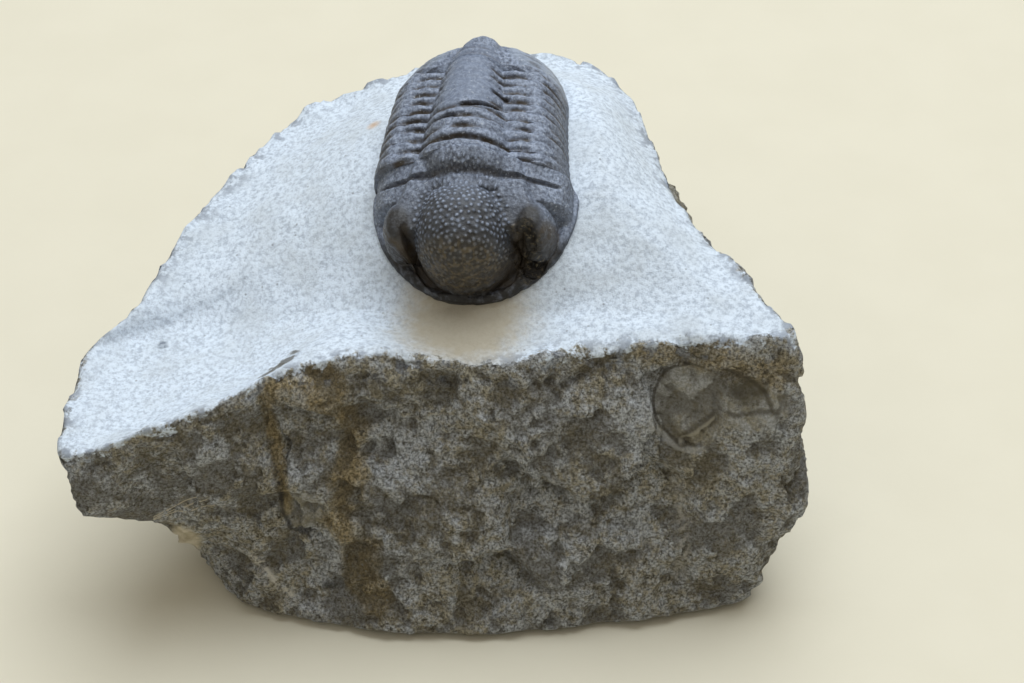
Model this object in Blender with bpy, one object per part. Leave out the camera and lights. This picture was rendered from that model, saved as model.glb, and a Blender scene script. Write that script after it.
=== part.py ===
"""A trilobite fossil on its block of limestone, modelled in Blender.

The exoskeleton is made of the plates the animal had: a head shield, ten thorax segments and a tail
shield, each a solid of its own, arched over a seat on the stone. Lengths below are in millimetres
and are turned into metres as each mesh is placed. +X is to the right as the head faces the viewer,
+Y runs from the head back to the tail, and +Z is up. The stone stands on z = 0.
"""

import math

import bmesh
import bpy
import numpy as np
from mathutils import Matrix, Vector, noise

MM = 0.001

# Driving dimensions of the trilobite
HEAD_LENGTH = 9.7
HEAD_HALF_WIDTH = 8.65
GENAL_S = 8.8
SEGMENT_COUNT = 10
SEGMENT_PITCH = 0.87
TAIL_LENGTH = 7.3
TAIL_HALF_WIDTH = 7.45
PLATE_GAP = 0.26
THORAX_HEIGHT = 7.0

# How it lies on the stone: the front of the head, the turn and the tilt of the plates, how far each
# plate is set to the left for each millimetre back, and the pitch of each plate
HEAD_FRONT = (3.2, -9.1, 26.2)
YAW_DEG = -8.3
ROLL_DEG = -7.0
SIDE_DRIFT = 0.045
HEAD_PITCH_DEG = 34.0
SEGMENT_PITCH_DEG = (19.0, 16.5, 14.0, 12.0, 10.0, 8.0, 6.0, 4.0, 2.0, 0.0)
TAIL_PITCH_DEG = -6.0

# The glabella, the swollen middle of the head
GLABELLA_X = -0.2
GLABELLA_HALF_WIDTH = 4.25
GLABELLA_MIDDLE_S = 5.1
GLABELLA_FRONT_REACH = 4.5
GLABELLA_BACK_REACH = 4.9
GLABELLA_HEIGHT = 7.4
NECK_FURROW_S = 8.9
NECK_HEIGHT = 5.9
SADDLE_HEIGHT = 4.9

# The eyes
EYE_X = 5.5
EYE_S = 5.6
EYE_HALF_WIDTH = 1.5
EYE_HALF_LENGTH = 2.2
EYE_HEIGHT = 5.2

# Mesh density
STONE_COLUMNS = 84
STONE_ROWS = 30
HEAD_COLUMNS = 40
HEAD_ROWS = 25
SEGMENT_COLUMNS = 22
SEGMENT_ROWS = 4
TAIL_COLUMNS = 26
TAIL_ROWS = 16

# The stone at each station round it, starting at the left corner and passing the front first: the top
# edge x, y, z, the foot x, y, and how far the wall stands out a quarter, half and three quarters up
STATIONS = (
    (-29.6, -20.3, 19.9, -18.2, -15.6, -0.8, 1.4, 2.8),
    (-23.2, -19.9, 22.0, -16.8, -17.6, -0.4, 1.2, 1.7),
    (-18.0, -19.2, 23.6, -14.6, -19.2, 0.4, 0.4, 0.8),
    (-11.2, -16.4, 25.5, -9.2, -20.9, 0.3, 1.0, 0.9),
    (-5.6, -15.2, 26.0, -3.0, -22.2, 0.2, 0.7, 0.6),
    (0.0, -14.9, 25.5, 2.0, -22.3, 0.2, 0.7, 0.6),
    (5.6, -15.2, 25.3, 8.0, -22.0, 0.2, 0.7, 0.6),
    (13.7, -14.9, 26.3, 15.0, -21.0, 0.3, 0.8, 0.6),
    (20.1, -14.7, 27.2, 20.8, -19.8, 1.2, 1.1, 0.4),
    (28.9, -14.6, 27.4, 27.2, -17.0, 2.2, 3.2, 2.9),
    (27.3, -10.8, 28.0, 26.2, -8.0, 3.0, 3.7, 2.8),
    (22.6, -2.6, 29.0, 23.5, 0.0, 2.6, 4.2, 3.8),
    (19.7, 4.3, 29.5, 19.5, 6.0, 2.5, 3.0, 2.0),
    (17.2, 15.0, 30.0, 15.5, 13.5, 1.8, 2.6, 1.6),
    (13.0, 20.7, 30.0, 10.5, 17.0, 2.0, 2.4, 1.4),
    (4.0, 21.2, 30.0, 3.0, 18.0, 1.2, 2.2, 1.8),
    (-4.0, 19.5, 29.2, -4.0, 16.0, 2.0, 2.4, 0.8),
    (-10.9, 17.7, 27.4, -9.5, 13.5, 1.4, 2.4, 2.4),
    (-16.4, 11.4, 26.0, -14.0, 9.0, 1.2, 1.6, 1.2),
    (-20.8, 4.4, 24.8, -17.5, 3.5, 0.6, 1.2, 1.2),
    (-25.4, -4.9, 22.5, -19.5, -3.5, -0.4, 0.2, 1.4),
    (-29.0, -8.6, 20.7, -20.5, -7.5, -1.0, -1.0, 1.4),
    (-30.0, -15.6, 20.0, -20.2, -11.5, -1.0, -0.5, 1.8),
)
FRONT_STATIONS = (2, 10)
FRONT_DENSITY = 2.4
POLE = (4.0, 3.0)
BASE_SHARE = 2 / 30
WALL_SHARE = 19 / 30

# How far the whole is moved so that the middle of its footprint stands on the origin
ORIGIN_SHIFT = (-0.53, -0.2, 0.0)

# The seat under the fossil, and the shallow moat worked out in front of its head
SEAT_DEPTH = 0.42
SEAT_HALF_WIDTH = 8.9
SEAT_HALF_LENGTH = 13.6
MOAT_DEPTH = 0.7

# The shell print in the front face, right of the middle
PRINT_X = 21.2
PRINT_Z = 21.2
PRINT_RADIUS_X = 3.1
PRINT_RADIUS_Z = 3.5

# Spurs of dark stone that stand out just under the rim: where, how wide and how high
SPURS = (((26.2, -5.6, 26.6), 2.2, 1.9), ((-11.6, 17.6, 26.8), 1.5, 0.8))

# The crack that steps down the left of the front face, as x, z
UNDERCUT = 1.1
UNDERCUT_SHARE = 0.05
CRACK = (
    (-13.5, 23.6),
    (-13.4, 20.6),
    (-12.8, 17.5),
    (-12.5, 15.0),
    (-12.4, 11.6),
    (-11.7, 10.0),
    (-10.2, 9.5),
)


def smooth(low, high, value):
    """0 below low, 1 above high, and a smooth step between them."""
    t = np.clip((value - low) / (high - low), 0.0, 1.0)
    return t * t * (3 - 2 * t)


def dome(value, power):
    """A rounded cap: 1 where value is 0, falling to 0 where it is 1 and staying there."""
    return np.clip(1 - np.abs(value) ** power, 0.0, None) ** (1 / power)


def softer_max(a, b, width):
    """The larger of two heights, with the crease between them rounded over a width."""
    h = np.clip(0.5 + 0.5 * (a - b) / width, 0.0, 1.0)
    return b + (a - b) * h + width * h * (1 - h)


def ridge(value, middle, half_width):
    """A round ridge of height 1 across a line."""
    return np.clip(1 - ((value - middle) / half_width) ** 2, 0.0, None)


# The stone


def through(before, here, after, beyond, t):
    """A smooth curve from here to after, which carries on from before and towards beyond."""
    return 0.5 * (
        2 * here
        + (after - before) * t
        + (2 * before - 5 * here + 4 * after - beyond) * t**2
        + (3 * here - before - 3 * after + beyond) * t**3
    )


def round_loop(station):
    """The station values at a fractional place round the stone, on a curve through every station."""
    table = np.array(STATIONS)
    low = int(math.floor(station))
    return through(*(table[(low + i) % len(table)] for i in (-1, 0, 1, 2)), station - low)


def wall_offset(offsets, e):
    """How far the wall stands out at a share e of its height, on a curve through its three offsets."""
    knots = (-offsets[0], 0.0, *offsets, 0.0, -offsets[-1])
    low = min(int(e * 4), 3)
    return through(*knots[low : low + 4], e * 4 - low)


def column_stations(columns):
    """Places round the stone for the mesh columns, closer together on the front."""
    table = np.array(STATIONS)
    steps = np.linalg.norm(np.roll(table, -1, axis=0)[:, :2] - table[:, :2], axis=1)
    first, last = FRONT_STATIONS
    steps[first - 1 : last] *= FRONT_DENSITY
    along = np.concatenate([[0.0], np.cumsum(steps)])
    return np.interp(np.arange(columns) / columns * along[-1], along, np.arange(len(along)))


def base_line():
    """The line under the fossil's middle, as lists of the places along it and of its heights."""
    along, height = [0.0], [0.0]
    plates = [(HEAD_LENGTH, HEAD_PITCH_DEG)]
    plates += [(SEGMENT_PITCH, pitch) for pitch in SEGMENT_PITCH_DEG]
    plates += [(TAIL_LENGTH, TAIL_PITCH_DEG)]
    for length, pitch in plates:
        along.append(along[-1] + length * math.cos(math.radians(pitch)))
        height.append(height[-1] + length * math.sin(math.radians(pitch)))
    return along, height


def seat_place(x, y):
    """Across and along the fossil, from the front of its head, for a point of the stone's top."""
    turn = math.radians(-YAW_DEG)
    dx, dy = x - HEAD_FRONT[0], y - HEAD_FRONT[1]
    along = dx * math.sin(turn) + dy * math.cos(turn)
    return dx * math.cos(turn) - dy * math.sin(turn) + SIDE_DRIFT * along, along


def seat_height(across, along):
    """The height of the plane that the plates rest on."""
    places, heights = base_line()
    places = [-12.0] + places + [places[-1] + 12.0]
    heights = [-0.9] + heights + [heights[-1] - 3.5]
    return HEAD_FRONT[2] + np.interp(along, places, heights) - across * math.tan(math.radians(ROLL_DEG))


def seat_reach(across, along):
    """How far out a point is on the fossil's footprint: 1 on its outline."""
    middle = base_line()[0][-1] / 2
    return math.hypot(across / SEAT_HALF_WIDTH, (along - middle) / SEAT_HALF_LENGTH)


def top_height(x, y, rim):
    """The height of the worked top, from the rim in to the seat under the fossil."""
    across, along = seat_place(x, y)
    reach = seat_reach(across, along)
    rim_reach = seat_reach(*seat_place(rim[0], rim[1]))
    inward = smooth(0.0, 1.0, (rim_reach - reach) / max(rim_reach - 1.0, 0.05))
    moat = MOAT_DEPTH * float(ridge(reach, 1.12, 0.3)) * float(smooth(4.0, -1.0, along))
    sunk = SEAT_DEPTH * float(smooth(1.25, 1.05, reach)) + moat
    return rim[2] + (seat_height(across, along) - rim[2]) * inward - sunk


def facets(point, size, step, slope, sharpness):
    """Tilted flat chips, as a broken stone has: each cell is a plane of its own height and slope."""
    distances, seeds = noise.voronoi(point / size)
    total = weight = 0.0
    for distance, seed in zip(distances, seeds):
        share = math.exp(-sharpness * (distance - distances[0]))
        tilt = noise.cell_vector(seed * 9.0) - Vector((0.5,) * 3)
        plane = step * (noise.cell(seed * 7.0) - 0.5) + slope * (point / size - seed).dot(tilt)
        total += share * plane
        weight += share
    return total / weight


def wall_relief(point, e):
    """How far the broken wall stands out at a point a share e of the way up, in millimetres."""
    lumps = 0.9 * noise.noise(point / 9.0) + 0.45 * noise.noise(point / 4.5)
    chips = facets(point, 7.0, 1.1, 1.4, 20.0) * (1 - float(smooth(0.78, 0.98, e)))
    grain = 0.32 * noise.noise(point / 2.2)
    spurs = sum(high * math.exp(-(((point - Vector(at)).length / size) ** 2)) for at, size, high in SPURS)
    return lumps + chips + grain + spurs


def print_reach(x, z):
    """How far out a point of the front face is on the shell print: 1 on its rim."""
    return math.hypot((x - PRINT_X) / PRINT_RADIUS_X, (z - PRINT_Z) / PRINT_RADIUS_Z)


def print_relief(x, z):
    """The shell print: a sunken disc with a domed floor, a hollow beside it and a ridge below."""
    dx, dz = x - PRINT_X, z - PRINT_Z
    r = print_reach(x, z)
    disc = (0.5 * max(1 - r * r, 0.0) - 0.8) * float(smooth(1.1, 0.93, r))
    hollow = -1.5 * float(ridge(math.hypot((dx - 5.0) / 2.7, (dz - 0.4) / 1.8), 0.0, 1.0))
    along = np.clip(((dx + 0.8) * 2.7 + (dz + 3.3) * 2.4) / (2.7**2 + 2.4**2), 0.0, 1.0)
    off = math.hypot(dx + 0.8 - 2.7 * along, dz + 3.3 - 2.4 * along)
    return disc + hollow + 0.6 * float(ridge(off, 0.0, 0.7))


def crack_side(x, z):
    """Signed distance to the crack on the front face: positive to its right, and 99 beyond its ends."""
    best, signed = 99.0, 99.0
    for (x0, z0), (x1, z1) in zip(CRACK, CRACK[1:]):
        ex, ez = x1 - x0, z1 - z0
        t = ((x - x0) * ex + (z - z0) * ez) / (ex * ex + ez * ez)
        t = min(max(t, 0.0), 1.0)
        off = math.hypot(x - x0 - t * ex, z - z0 - t * ez)
        if off < best:
            best, signed = off, math.copysign(off, ex * (z - z0) - ez * (x - x0))
    return signed


def crack_relief(x, z):
    """The step at the crack: the stone stands higher to its right, above a narrow cleft."""
    side = crack_side(x, z)
    step = 0.6 * math.exp(-max(side, 0.0) / 3.0) if side > 0 else 0.0
    return step - 0.9 * math.exp(-((side / 0.4) ** 2))


def stone_point(station, stage):
    """A point of the stone: stage 0 to 1 crosses the foot, 1 to 2 climbs the wall, 2 to 3 the top."""
    rx, ry, rz, bx, by, *offsets = round_loop(station)
    out = Vector((rx + bx - 2 * POLE[0], ry + by - 2 * POLE[1], 0.0)).normalized()
    if stage <= 1:
        foot = Vector((bx, by, 0.0)) - out * UNDERCUT
        return Vector((POLE[0], POLE[1], 0.0)).lerp(foot, stage)
    if stage <= 2:
        e = stage - 1
        stands = wall_offset(offsets, e) - UNDERCUT * (1 - float(smooth(0.0, UNDERCUT_SHARE, e)))
        point = Vector((bx + (rx - bx) * e, by + (ry - by) * e, rz * e)) + out * stands
        held = float(smooth(0.0, 0.22, e)) * (1 - 0.5 * float(smooth(22.0, 26.0, point.x)))
        relief = wall_relief(point, e)
        if point.y < -8 and abs(point.x) < 28:
            plain = 1 - 0.8 * float(smooth(1.15, 0.95, print_reach(point.x, point.z)))
            relief = relief * plain + print_relief(point.x, point.z) + crack_relief(point.x, point.z)
        lean = float(smooth(0.86, 1.0, e)) * 0.7
        aim = (out * (1 - lean) + Vector((0, 0, lean))).normalized()
        return point + aim * (relief * held * (1 - 0.55 * float(smooth(0.9, 1.0, e))))
    f = stage - 2
    x, y = rx + (POLE[0] - rx) * f, ry + (POLE[1] - ry) * f
    point = Vector((x, y, top_height(x, y, (rx, ry, rz))))
    edge = 0.45 * wall_relief(Vector((rx, ry, rz)), 1.0) * (1 - float(smooth(0.0, 0.25, f)))
    aim = (out * 0.3 + Vector((0, 0, 0.7))).normalized()
    clear = float(smooth(1.1, 1.5, seat_reach(*seat_place(x, y)))) * float(smooth(0.02, 0.2, f))
    waves = 0.5 * noise.noise(point / 6.0) * clear
    return point + aim * edge + Vector((0, 0, waves))


def stage_of_row(share):
    """Which part of the stone a row of the ball makes, from its foot up to the middle of the top."""
    return float(np.interp(share, (0.0, BASE_SHARE, WALL_SHARE, 1.0), (0.0, 1.0, 2.0, 3.0)))


def make_stone(collection, root):
    """The block: a ball whose rows are slid on to the foot, the wall and the worked top."""
    mesh = bpy.data.meshes.new("limestone_matrix")
    bm = bmesh.new()
    bmesh.ops.create_uvsphere(bm, u_segments=STONE_COLUMNS, v_segments=STONE_ROWS, radius=1.0)
    stations = column_stations(STONE_COLUMNS)
    for vert in bm.verts:
        share = 1 - math.acos(max(-1.0, min(1.0, vert.co.z))) / math.pi
        turn = math.atan2(vert.co.y, vert.co.x) / (2 * math.pi) * STONE_COLUMNS
        station = stations[int(round(turn)) % STONE_COLUMNS]
        row = round(share * STONE_ROWS) / STONE_ROWS
        vert.co = stone_point(station, stage_of_row(row)) * MM
    bm.to_mesh(mesh)
    bm.free()
    stone = add_object("limestone_matrix", mesh, collection, stone_material())
    stone.parent = root
    return stone


# The plates of the trilobite: each is a grid laid on its own surface and closed by a flat underside


def fan_out(bm, ends, reach, fans):
    """Leans the end faces of a plate outwards, so that neighbours on the arch meet over their height."""
    front, back = ends
    for vert in bm.verts:
        s = vert.co.y / MM
        lean = np.interp(s, (front, front + reach, back - reach, back), (-fans[0], 0.0, 0.0, fans[1]))
        vert.co.y += float(lean) * vert.co.z


def fan_between(pitch_before, pitch_after):
    """How far an end face leans out for each millimetre of height, where two plates meet."""
    return math.tan(math.radians(pitch_before - pitch_after) / 2)


def make_plate(name, collection, columns, rows, surface, ends, reach, fans, material):
    """A closed plate. The surface gives x, s and h for u across from -1 to 1 and v back from 0 to 1."""
    bm = bmesh.new()
    bmesh.ops.create_grid(bm, x_segments=columns, y_segments=rows, size=1.0)
    grid = np.array([vert.co[:2] for vert in bm.verts])
    x, s, h = surface(grid[:, 0], (grid[:, 1] + 1) / 2)
    for vert, place in zip(bm.verts, np.stack([x, s, h], axis=1)):
        vert.co = Vector(place) * MM
    bmesh.ops.remove_doubles(bm, verts=bm.verts, dist=0.02 * MM)
    rim = [edge for edge in bm.edges if edge.is_boundary]
    drawn = bmesh.ops.extrude_edge_only(bm, edges=rim)["geom"]
    for vert in (item for item in drawn if isinstance(item, bmesh.types.BMVert)):
        vert.co.z = 0.0
    bmesh.ops.remove_doubles(bm, verts=bm.verts, dist=0.02 * MM)
    foot = [edge for edge in bm.edges if edge.is_boundary]
    bmesh.ops.contextual_create(bm, geom=foot)
    bmesh.ops.recalc_face_normals(bm, faces=bm.faces)
    fan_out(bm, ends, reach, fans)
    mesh = bpy.data.meshes.new(name)
    bm.to_mesh(mesh)
    bm.free()
    return add_object(name, mesh, collection, material)


def head_outline(s):
    """Half the head's width at s back from its front, with rounded corners at the rear."""
    front = HEAD_HALF_WIDTH * dome((GENAL_S - np.minimum(s, GENAL_S)) / GENAL_S, 1.95)
    return front - 0.9 * smooth(GENAL_S, HEAD_LENGTH + 0.6, s)


def glabella_reach(x, s):
    """How far out a point is on the glabella: 1 on its edge."""
    reach = np.where(s < GLABELLA_MIDDLE_S, GLABELLA_FRONT_REACH, GLABELLA_BACK_REACH)
    return np.hypot((x - GLABELLA_X) / GLABELLA_HALF_WIDTH, (s - GLABELLA_MIDDLE_S) / reach)


def eye_reach(x, s):
    """How far out a point is on the eye of its side: 1 on its edge."""
    return np.hypot((np.abs(x) - EYE_X) / EYE_HALF_WIDTH, (s - EYE_S) / EYE_HALF_LENGTH)


def pit_share(x, s):
    """The broken hollow in front of the right eye: 1 at its bottom."""
    return smooth(1.0, 0.55, np.hypot((x - 5.1) / 1.35, (s - 3.8) / 2.0))


def head_height(x, s):
    """The height of the head shield above its underside: rim, cheeks, eyes, glabella and neck ring."""
    side = np.abs(x)
    ahead = (GENAL_S - np.minimum(s, GENAL_S)) / GENAL_S
    reach = (np.abs(side / HEAD_HALF_WIDTH) ** 1.95 + ahead**1.95) ** (1 / 1.95)
    rim = 0.2 + 0.55 * np.sqrt(ridge(reach, 0.935, 0.075))
    cheek = 0.6 + 4.0 * np.clip(1 - (reach / 0.885) ** 2, 0.0, None) ** 0.7
    height = softer_max(rim, np.where(reach < 0.885, cheek, 0.0), 0.25)
    height = softer_max(height, 4.8 * dome(x / 8.3, 2.5) * smooth(6.0, 7.8, s), 0.4)
    height = softer_max(height, EYE_HEIGHT * dome(eye_reach(x, s) / 1.1, 2.6), 0.4)
    middle = glabella_reach(x, s)
    height = height - 1.3 * ridge(middle, 1.06, 0.11) * smooth(0.6, 2.2, s) * smooth(5.6, 4.6, s)
    saddle = smooth(7.2, 5.2, side + 0.5 * np.maximum(s - 7.4, 0.0)) * smooth(3.9, 5.2, s)
    height = softer_max(height, SADDLE_HEIGHT * saddle, 0.6)
    height = softer_max(height, GLABELLA_HEIGHT * dome(middle, 2.4), 0.4)
    neck = (NECK_HEIGHT + 0.9 * smooth(8.5, 9.6, s)) * dome(x / 4.6, 2.2) * smooth(7.2, 8.4, s)
    height = softer_max(height, neck, 0.3)
    furrow = ridge(s, NECK_FURROW_S - 0.002 * x**2, 0.22 - 0.08 * smooth(3.6, 4.8, side))
    furrow = furrow * smooth(7.8, 6.8, side)
    return height - 0.45 * furrow - 1.1 * pit_share(x, s)


def head_surface(u, v):
    """Rows bunch at the front, where the outline closes, and again behind the cheeks."""
    turn = np.clip(v / 0.86, 0.0, 1.0) * math.pi / 2
    s = GENAL_S * (1 - np.cos(turn)) + (HEAD_LENGTH - PLATE_GAP / 2 - GENAL_S) * smooth(0.86, 1.0, v)
    across = np.sign(u) * (0.7 * np.abs(u) + 0.3 * np.sin(np.abs(u) * math.pi / 2))
    x = head_outline(s) * across
    return x, s, np.maximum(head_height(x, s), 0.2)


def cross_section(u, half_width, height, axis_half_width, axis_foot):
    """A slice across the thorax: the arched axis, the flat inner side and the outer side turned down."""
    side = np.abs(u)
    axis = np.clip(side / 0.42, 0.0, 1.0)
    inner = np.clip((side - 0.42) / 0.24, 0.0, 1.0)
    outer = np.clip((side - 0.66) / 0.34, 0.0, 1.0) * math.pi / 2
    bend_x = axis_half_width + 0.42 * (half_width - axis_half_width)
    bend_h = axis_foot - 0.35
    x = axis_half_width * axis + (bend_x - axis_half_width) * inner + (half_width - bend_x) * np.sin(outer)
    h = axis_foot + (height - axis_foot) * np.clip(1 - axis**2.2, 0.0, None)
    h = h - (axis_foot - bend_h) * inner**2 - bend_h * 0.97 * (1 - np.cos(outer))
    furrow = 0.15 * ridge(side, 0.43, 0.12)
    return np.sign(u) * x, h - furrow


def segment_measures(index):
    """Half width, height, axis half width and axis foot of a thorax segment."""
    back = (index + 0.5) / SEGMENT_COUNT
    half_width = 8.35 - 0.9 * back**0.7
    height = THORAX_HEIGHT - 0.45 * back
    return half_width, height, 3.8 - 1.4 * back, 4.95 + 0.35 * back


def segment_surface(index):
    """The surface of one segment: a ring over the axis and a rib on each side."""

    def surface(u, v):
        x, h = cross_section(u, *segment_measures(index))
        t = 2 * v - 1
        ring = -0.5 * smooth(-0.35, -1.0, t) - 0.3 * smooth(0.6, 1.0, t) + 0.1 * ridge(t, 0.25, 0.8)
        h = h + ring * smooth(1.0, 0.93, np.abs(u))
        return x, t * (SEGMENT_PITCH - PLATE_GAP) / 2, np.maximum(h, 0.15)

    return surface


def tail_height(x, s):
    """The height of the tail shield: the tapering axis with its rings, the ribs and the plain border."""
    side = np.abs(x)
    reach = np.hypot(side / TAIL_HALF_WIDTH, s / TAIL_LENGTH)
    flank = 0.35 + 5.1 * np.clip(1 - reach**3.0, 0.0, None) ** 0.55
    axis_width = 2.45 - 0.2 * s
    lean = s - 0.16 * np.maximum(side - axis_width, 0.0) ** 1.5
    ribs = 0.16 * np.cos(2 * math.pi * lean / 0.95) * smooth(0.86, 0.66, reach) * smooth(5.4, 3.0, s)
    rings = 0.14 * np.cos(2 * math.pi * s / 0.86) * smooth(6.0, 4.5, s)
    fall = dome(s / 6.2, 3.0)
    crown = dome(side / axis_width, 1.9)
    axis = np.where(side < axis_width, (4.5 + 1.95 * crown) * fall + rings * crown, 0.0)
    return softer_max(flank + ribs, axis, 0.5)


def tail_surface(u, v):
    """Rows run back from the last segment and bunch where the outline closes."""
    s = PLATE_GAP / 2 + (TAIL_LENGTH - PLATE_GAP / 2) * np.sin(v * math.pi / 2)
    across = np.sign(u) * (0.35 * np.abs(u) + 0.65 * np.sin(np.abs(u) * math.pi / 2))
    x = TAIL_HALF_WIDTH * dome(s / TAIL_LENGTH, 2.0) * across
    front = 0.35 * smooth(0.5, 0.0, s)
    return x, s, np.maximum(tail_height(x, s) - front, 0.15)


# Placing and finishing


def plain_material(name, colour, roughness):
    material = bpy.data.materials.new(name)
    material.use_nodes = True
    shader = material.node_tree.nodes["Principled BSDF"]
    shader.inputs["Base Color"].default_value = (*colour, 1.0)
    shader.inputs["Roughness"].default_value = roughness
    shader.inputs["Metallic"].default_value = 0.0
    return material


def stone_material():
    return plain_material("limestone", (0.34, 0.33, 0.31), 0.9)


def fossil_material():
    return plain_material("fossil_calcite", (0.09, 0.09, 0.095), 0.5)


def add_object(name, mesh, collection, material):
    """An object for a mesh, shaded smooth except at its sharp edges."""
    obj = bpy.data.objects.new(name, mesh)
    mesh.materials.append(material)
    mesh.shade_smooth()
    mesh.set_sharp_from_angle(angle=math.radians(40))
    collection.objects.link(obj)
    return obj


def place_plate(obj, holder, along, height, pitch_deg):
    """Hinges a plate on the base line under the fossil, at its own pitch."""
    obj.parent = holder
    obj.location = (-SIDE_DRIFT * along * MM, along * MM, height * MM)
    obj.rotation_euler = (math.radians(pitch_deg), 0.0, 0.0)


def make_trilobite(collection, root):
    """The head, the ten segments and the tail, each on its stretch of the base line."""
    holder = bpy.data.objects.new("trilobite", None)
    collection.objects.link(holder)
    holder.parent = root
    holder.matrix_local = (
        Matrix.Translation(Vector(HEAD_FRONT) * MM)
        @ Matrix.Rotation(math.radians(YAW_DEG), 4, "Z")
        @ Matrix.Rotation(math.radians(ROLL_DEG), 4, "Y")
    )
    material = fossil_material()
    places, heights = base_line()
    pitches = (HEAD_PITCH_DEG,) + SEGMENT_PITCH_DEG + (TAIL_PITCH_DEG,)
    fans = [fan_between(before, after) for before, after in zip(pitches, pitches[1:])]
    neck_fan = math.tan(math.radians(pitches[0] - pitches[1]))
    fans[0] = 0.0
    ends = (0.0, HEAD_LENGTH - PLATE_GAP / 2)
    head = make_plate(
        "cephalon", collection, HEAD_COLUMNS, HEAD_ROWS, head_surface, ends, 1.5, (0.0, neck_fan), material
    )
    place_plate(head, holder, 0.0, 0.0, HEAD_PITCH_DEG)
    half = (SEGMENT_PITCH - PLATE_GAP) / 2
    for index in range(SEGMENT_COUNT):
        segment = make_plate(
            f"thorax_segment_{index + 1:02d}",
            collection,
            SEGMENT_COLUMNS,
            SEGMENT_ROWS,
            segment_surface(index),
            (-half, half),
            half,
            fans[index : index + 2],
            material,
        )
        middle = (places[index + 1] + places[index + 2]) / 2
        height = (heights[index + 1] + heights[index + 2]) / 2
        place_plate(segment, holder, middle, height, SEGMENT_PITCH_DEG[index])
    ends = (PLATE_GAP / 2, TAIL_LENGTH)
    tail = make_plate(
        "pygidium", collection, TAIL_COLUMNS, TAIL_ROWS, tail_surface, ends, 1.5, (fans[-1], 0.0), material
    )
    place_plate(tail, holder, places[-2], heights[-2], TAIL_PITCH_DEG)


def main():
    for obj in list(bpy.data.objects):
        bpy.data.objects.remove(obj)
    collection = bpy.data.collections.new("trilobite_fossil")
    bpy.context.scene.collection.children.link(collection)
    root = bpy.data.objects.new("fossil_on_stone", None)
    root.location = Vector(ORIGIN_SHIFT) * MM
    collection.objects.link(root)
    make_stone(collection, root)
    make_trilobite(collection, root)


main()
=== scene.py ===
"""The looks of a trilobite fossil on its block of limestone.

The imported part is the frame. Each of its plates and its stone is replaced here by a fine mesh of the
same shape with the low relief that the solids leave out, and each gets a node-based material. Lengths
are in millimetres, in part.py's own axes, until a mesh is placed.
"""

import math

import bmesh
import bpy
import numpy as np
from mathutils import Matrix, Vector, kdtree, noise


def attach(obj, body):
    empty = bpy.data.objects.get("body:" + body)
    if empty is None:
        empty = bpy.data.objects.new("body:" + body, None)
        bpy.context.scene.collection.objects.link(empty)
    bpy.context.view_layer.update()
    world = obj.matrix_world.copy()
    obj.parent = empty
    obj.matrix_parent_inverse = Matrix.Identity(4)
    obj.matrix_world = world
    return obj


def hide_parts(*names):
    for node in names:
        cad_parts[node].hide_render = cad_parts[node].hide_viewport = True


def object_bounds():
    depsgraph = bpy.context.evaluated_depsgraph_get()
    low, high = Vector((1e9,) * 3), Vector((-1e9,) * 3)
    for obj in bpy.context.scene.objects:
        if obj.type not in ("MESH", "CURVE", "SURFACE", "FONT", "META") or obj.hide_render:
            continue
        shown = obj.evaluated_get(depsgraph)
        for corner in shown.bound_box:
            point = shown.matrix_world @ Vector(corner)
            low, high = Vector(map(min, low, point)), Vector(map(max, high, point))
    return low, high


MM = 0.001
FAR = 99.0
BOX_MARGIN = 2e-6

# Driving dimensions of the trilobite, as in the part's source
HEAD_LENGTH = 9.7
HEAD_HALF_WIDTH = 8.65
GENAL_S = 8.8
SEGMENT_COUNT = 10
SEGMENT_PITCH = 0.87
TAIL_LENGTH = 7.3
TAIL_HALF_WIDTH = 7.45
THORAX_HEIGHT = 7.0
TAIL_RING_STEP = 0.86
TAIL_RIB_STEP = 0.95

# How it lies on the stone
HEAD_FRONT = (3.2, -9.1, 26.2)
YAW_DEG = -8.3
ROLL_DEG = -7.0
SIDE_DRIFT = 0.045
HEAD_PITCH_DEG = 34.0
SEGMENT_PITCH_DEG = (19.0, 16.5, 14.0, 12.0, 10.0, 8.0, 6.0, 4.0, 2.0, 0.0)
TAIL_PITCH_DEG = -6.0

# The head's outline, its glabella and its eyes
GLABELLA_X = -0.2
GLABELLA_HALF_WIDTH = 4.25
GLABELLA_MIDDLE_S = 5.1
GLABELLA_FRONT_REACH = 4.5
GLABELLA_BACK_REACH = 4.9
GLABELLA_HEIGHT = 7.4
NECK_FURROW_S = 8.9
NECK_HEIGHT = 5.9
SADDLE_HEIGHT = 4.9
EYE_X = 5.5
EYE_S = 5.6
EYE_HALF_WIDTH = 1.5
EYE_HALF_LENGTH = 2.2
EYE_HEIGHT = 5.2
HEAD_ROUNDNESS = 1.95
CHEEK_REACH = 0.885

# The broken hollow before an eye and the rubble in it, as x, s and half axes; the rubble's dark colour
# is partly painted shade
PIT = (5.1, 3.8, 1.35, 2.0)
PIT_RUBBLE = (5.0, 3.7, 1.3, 2.0)

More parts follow.
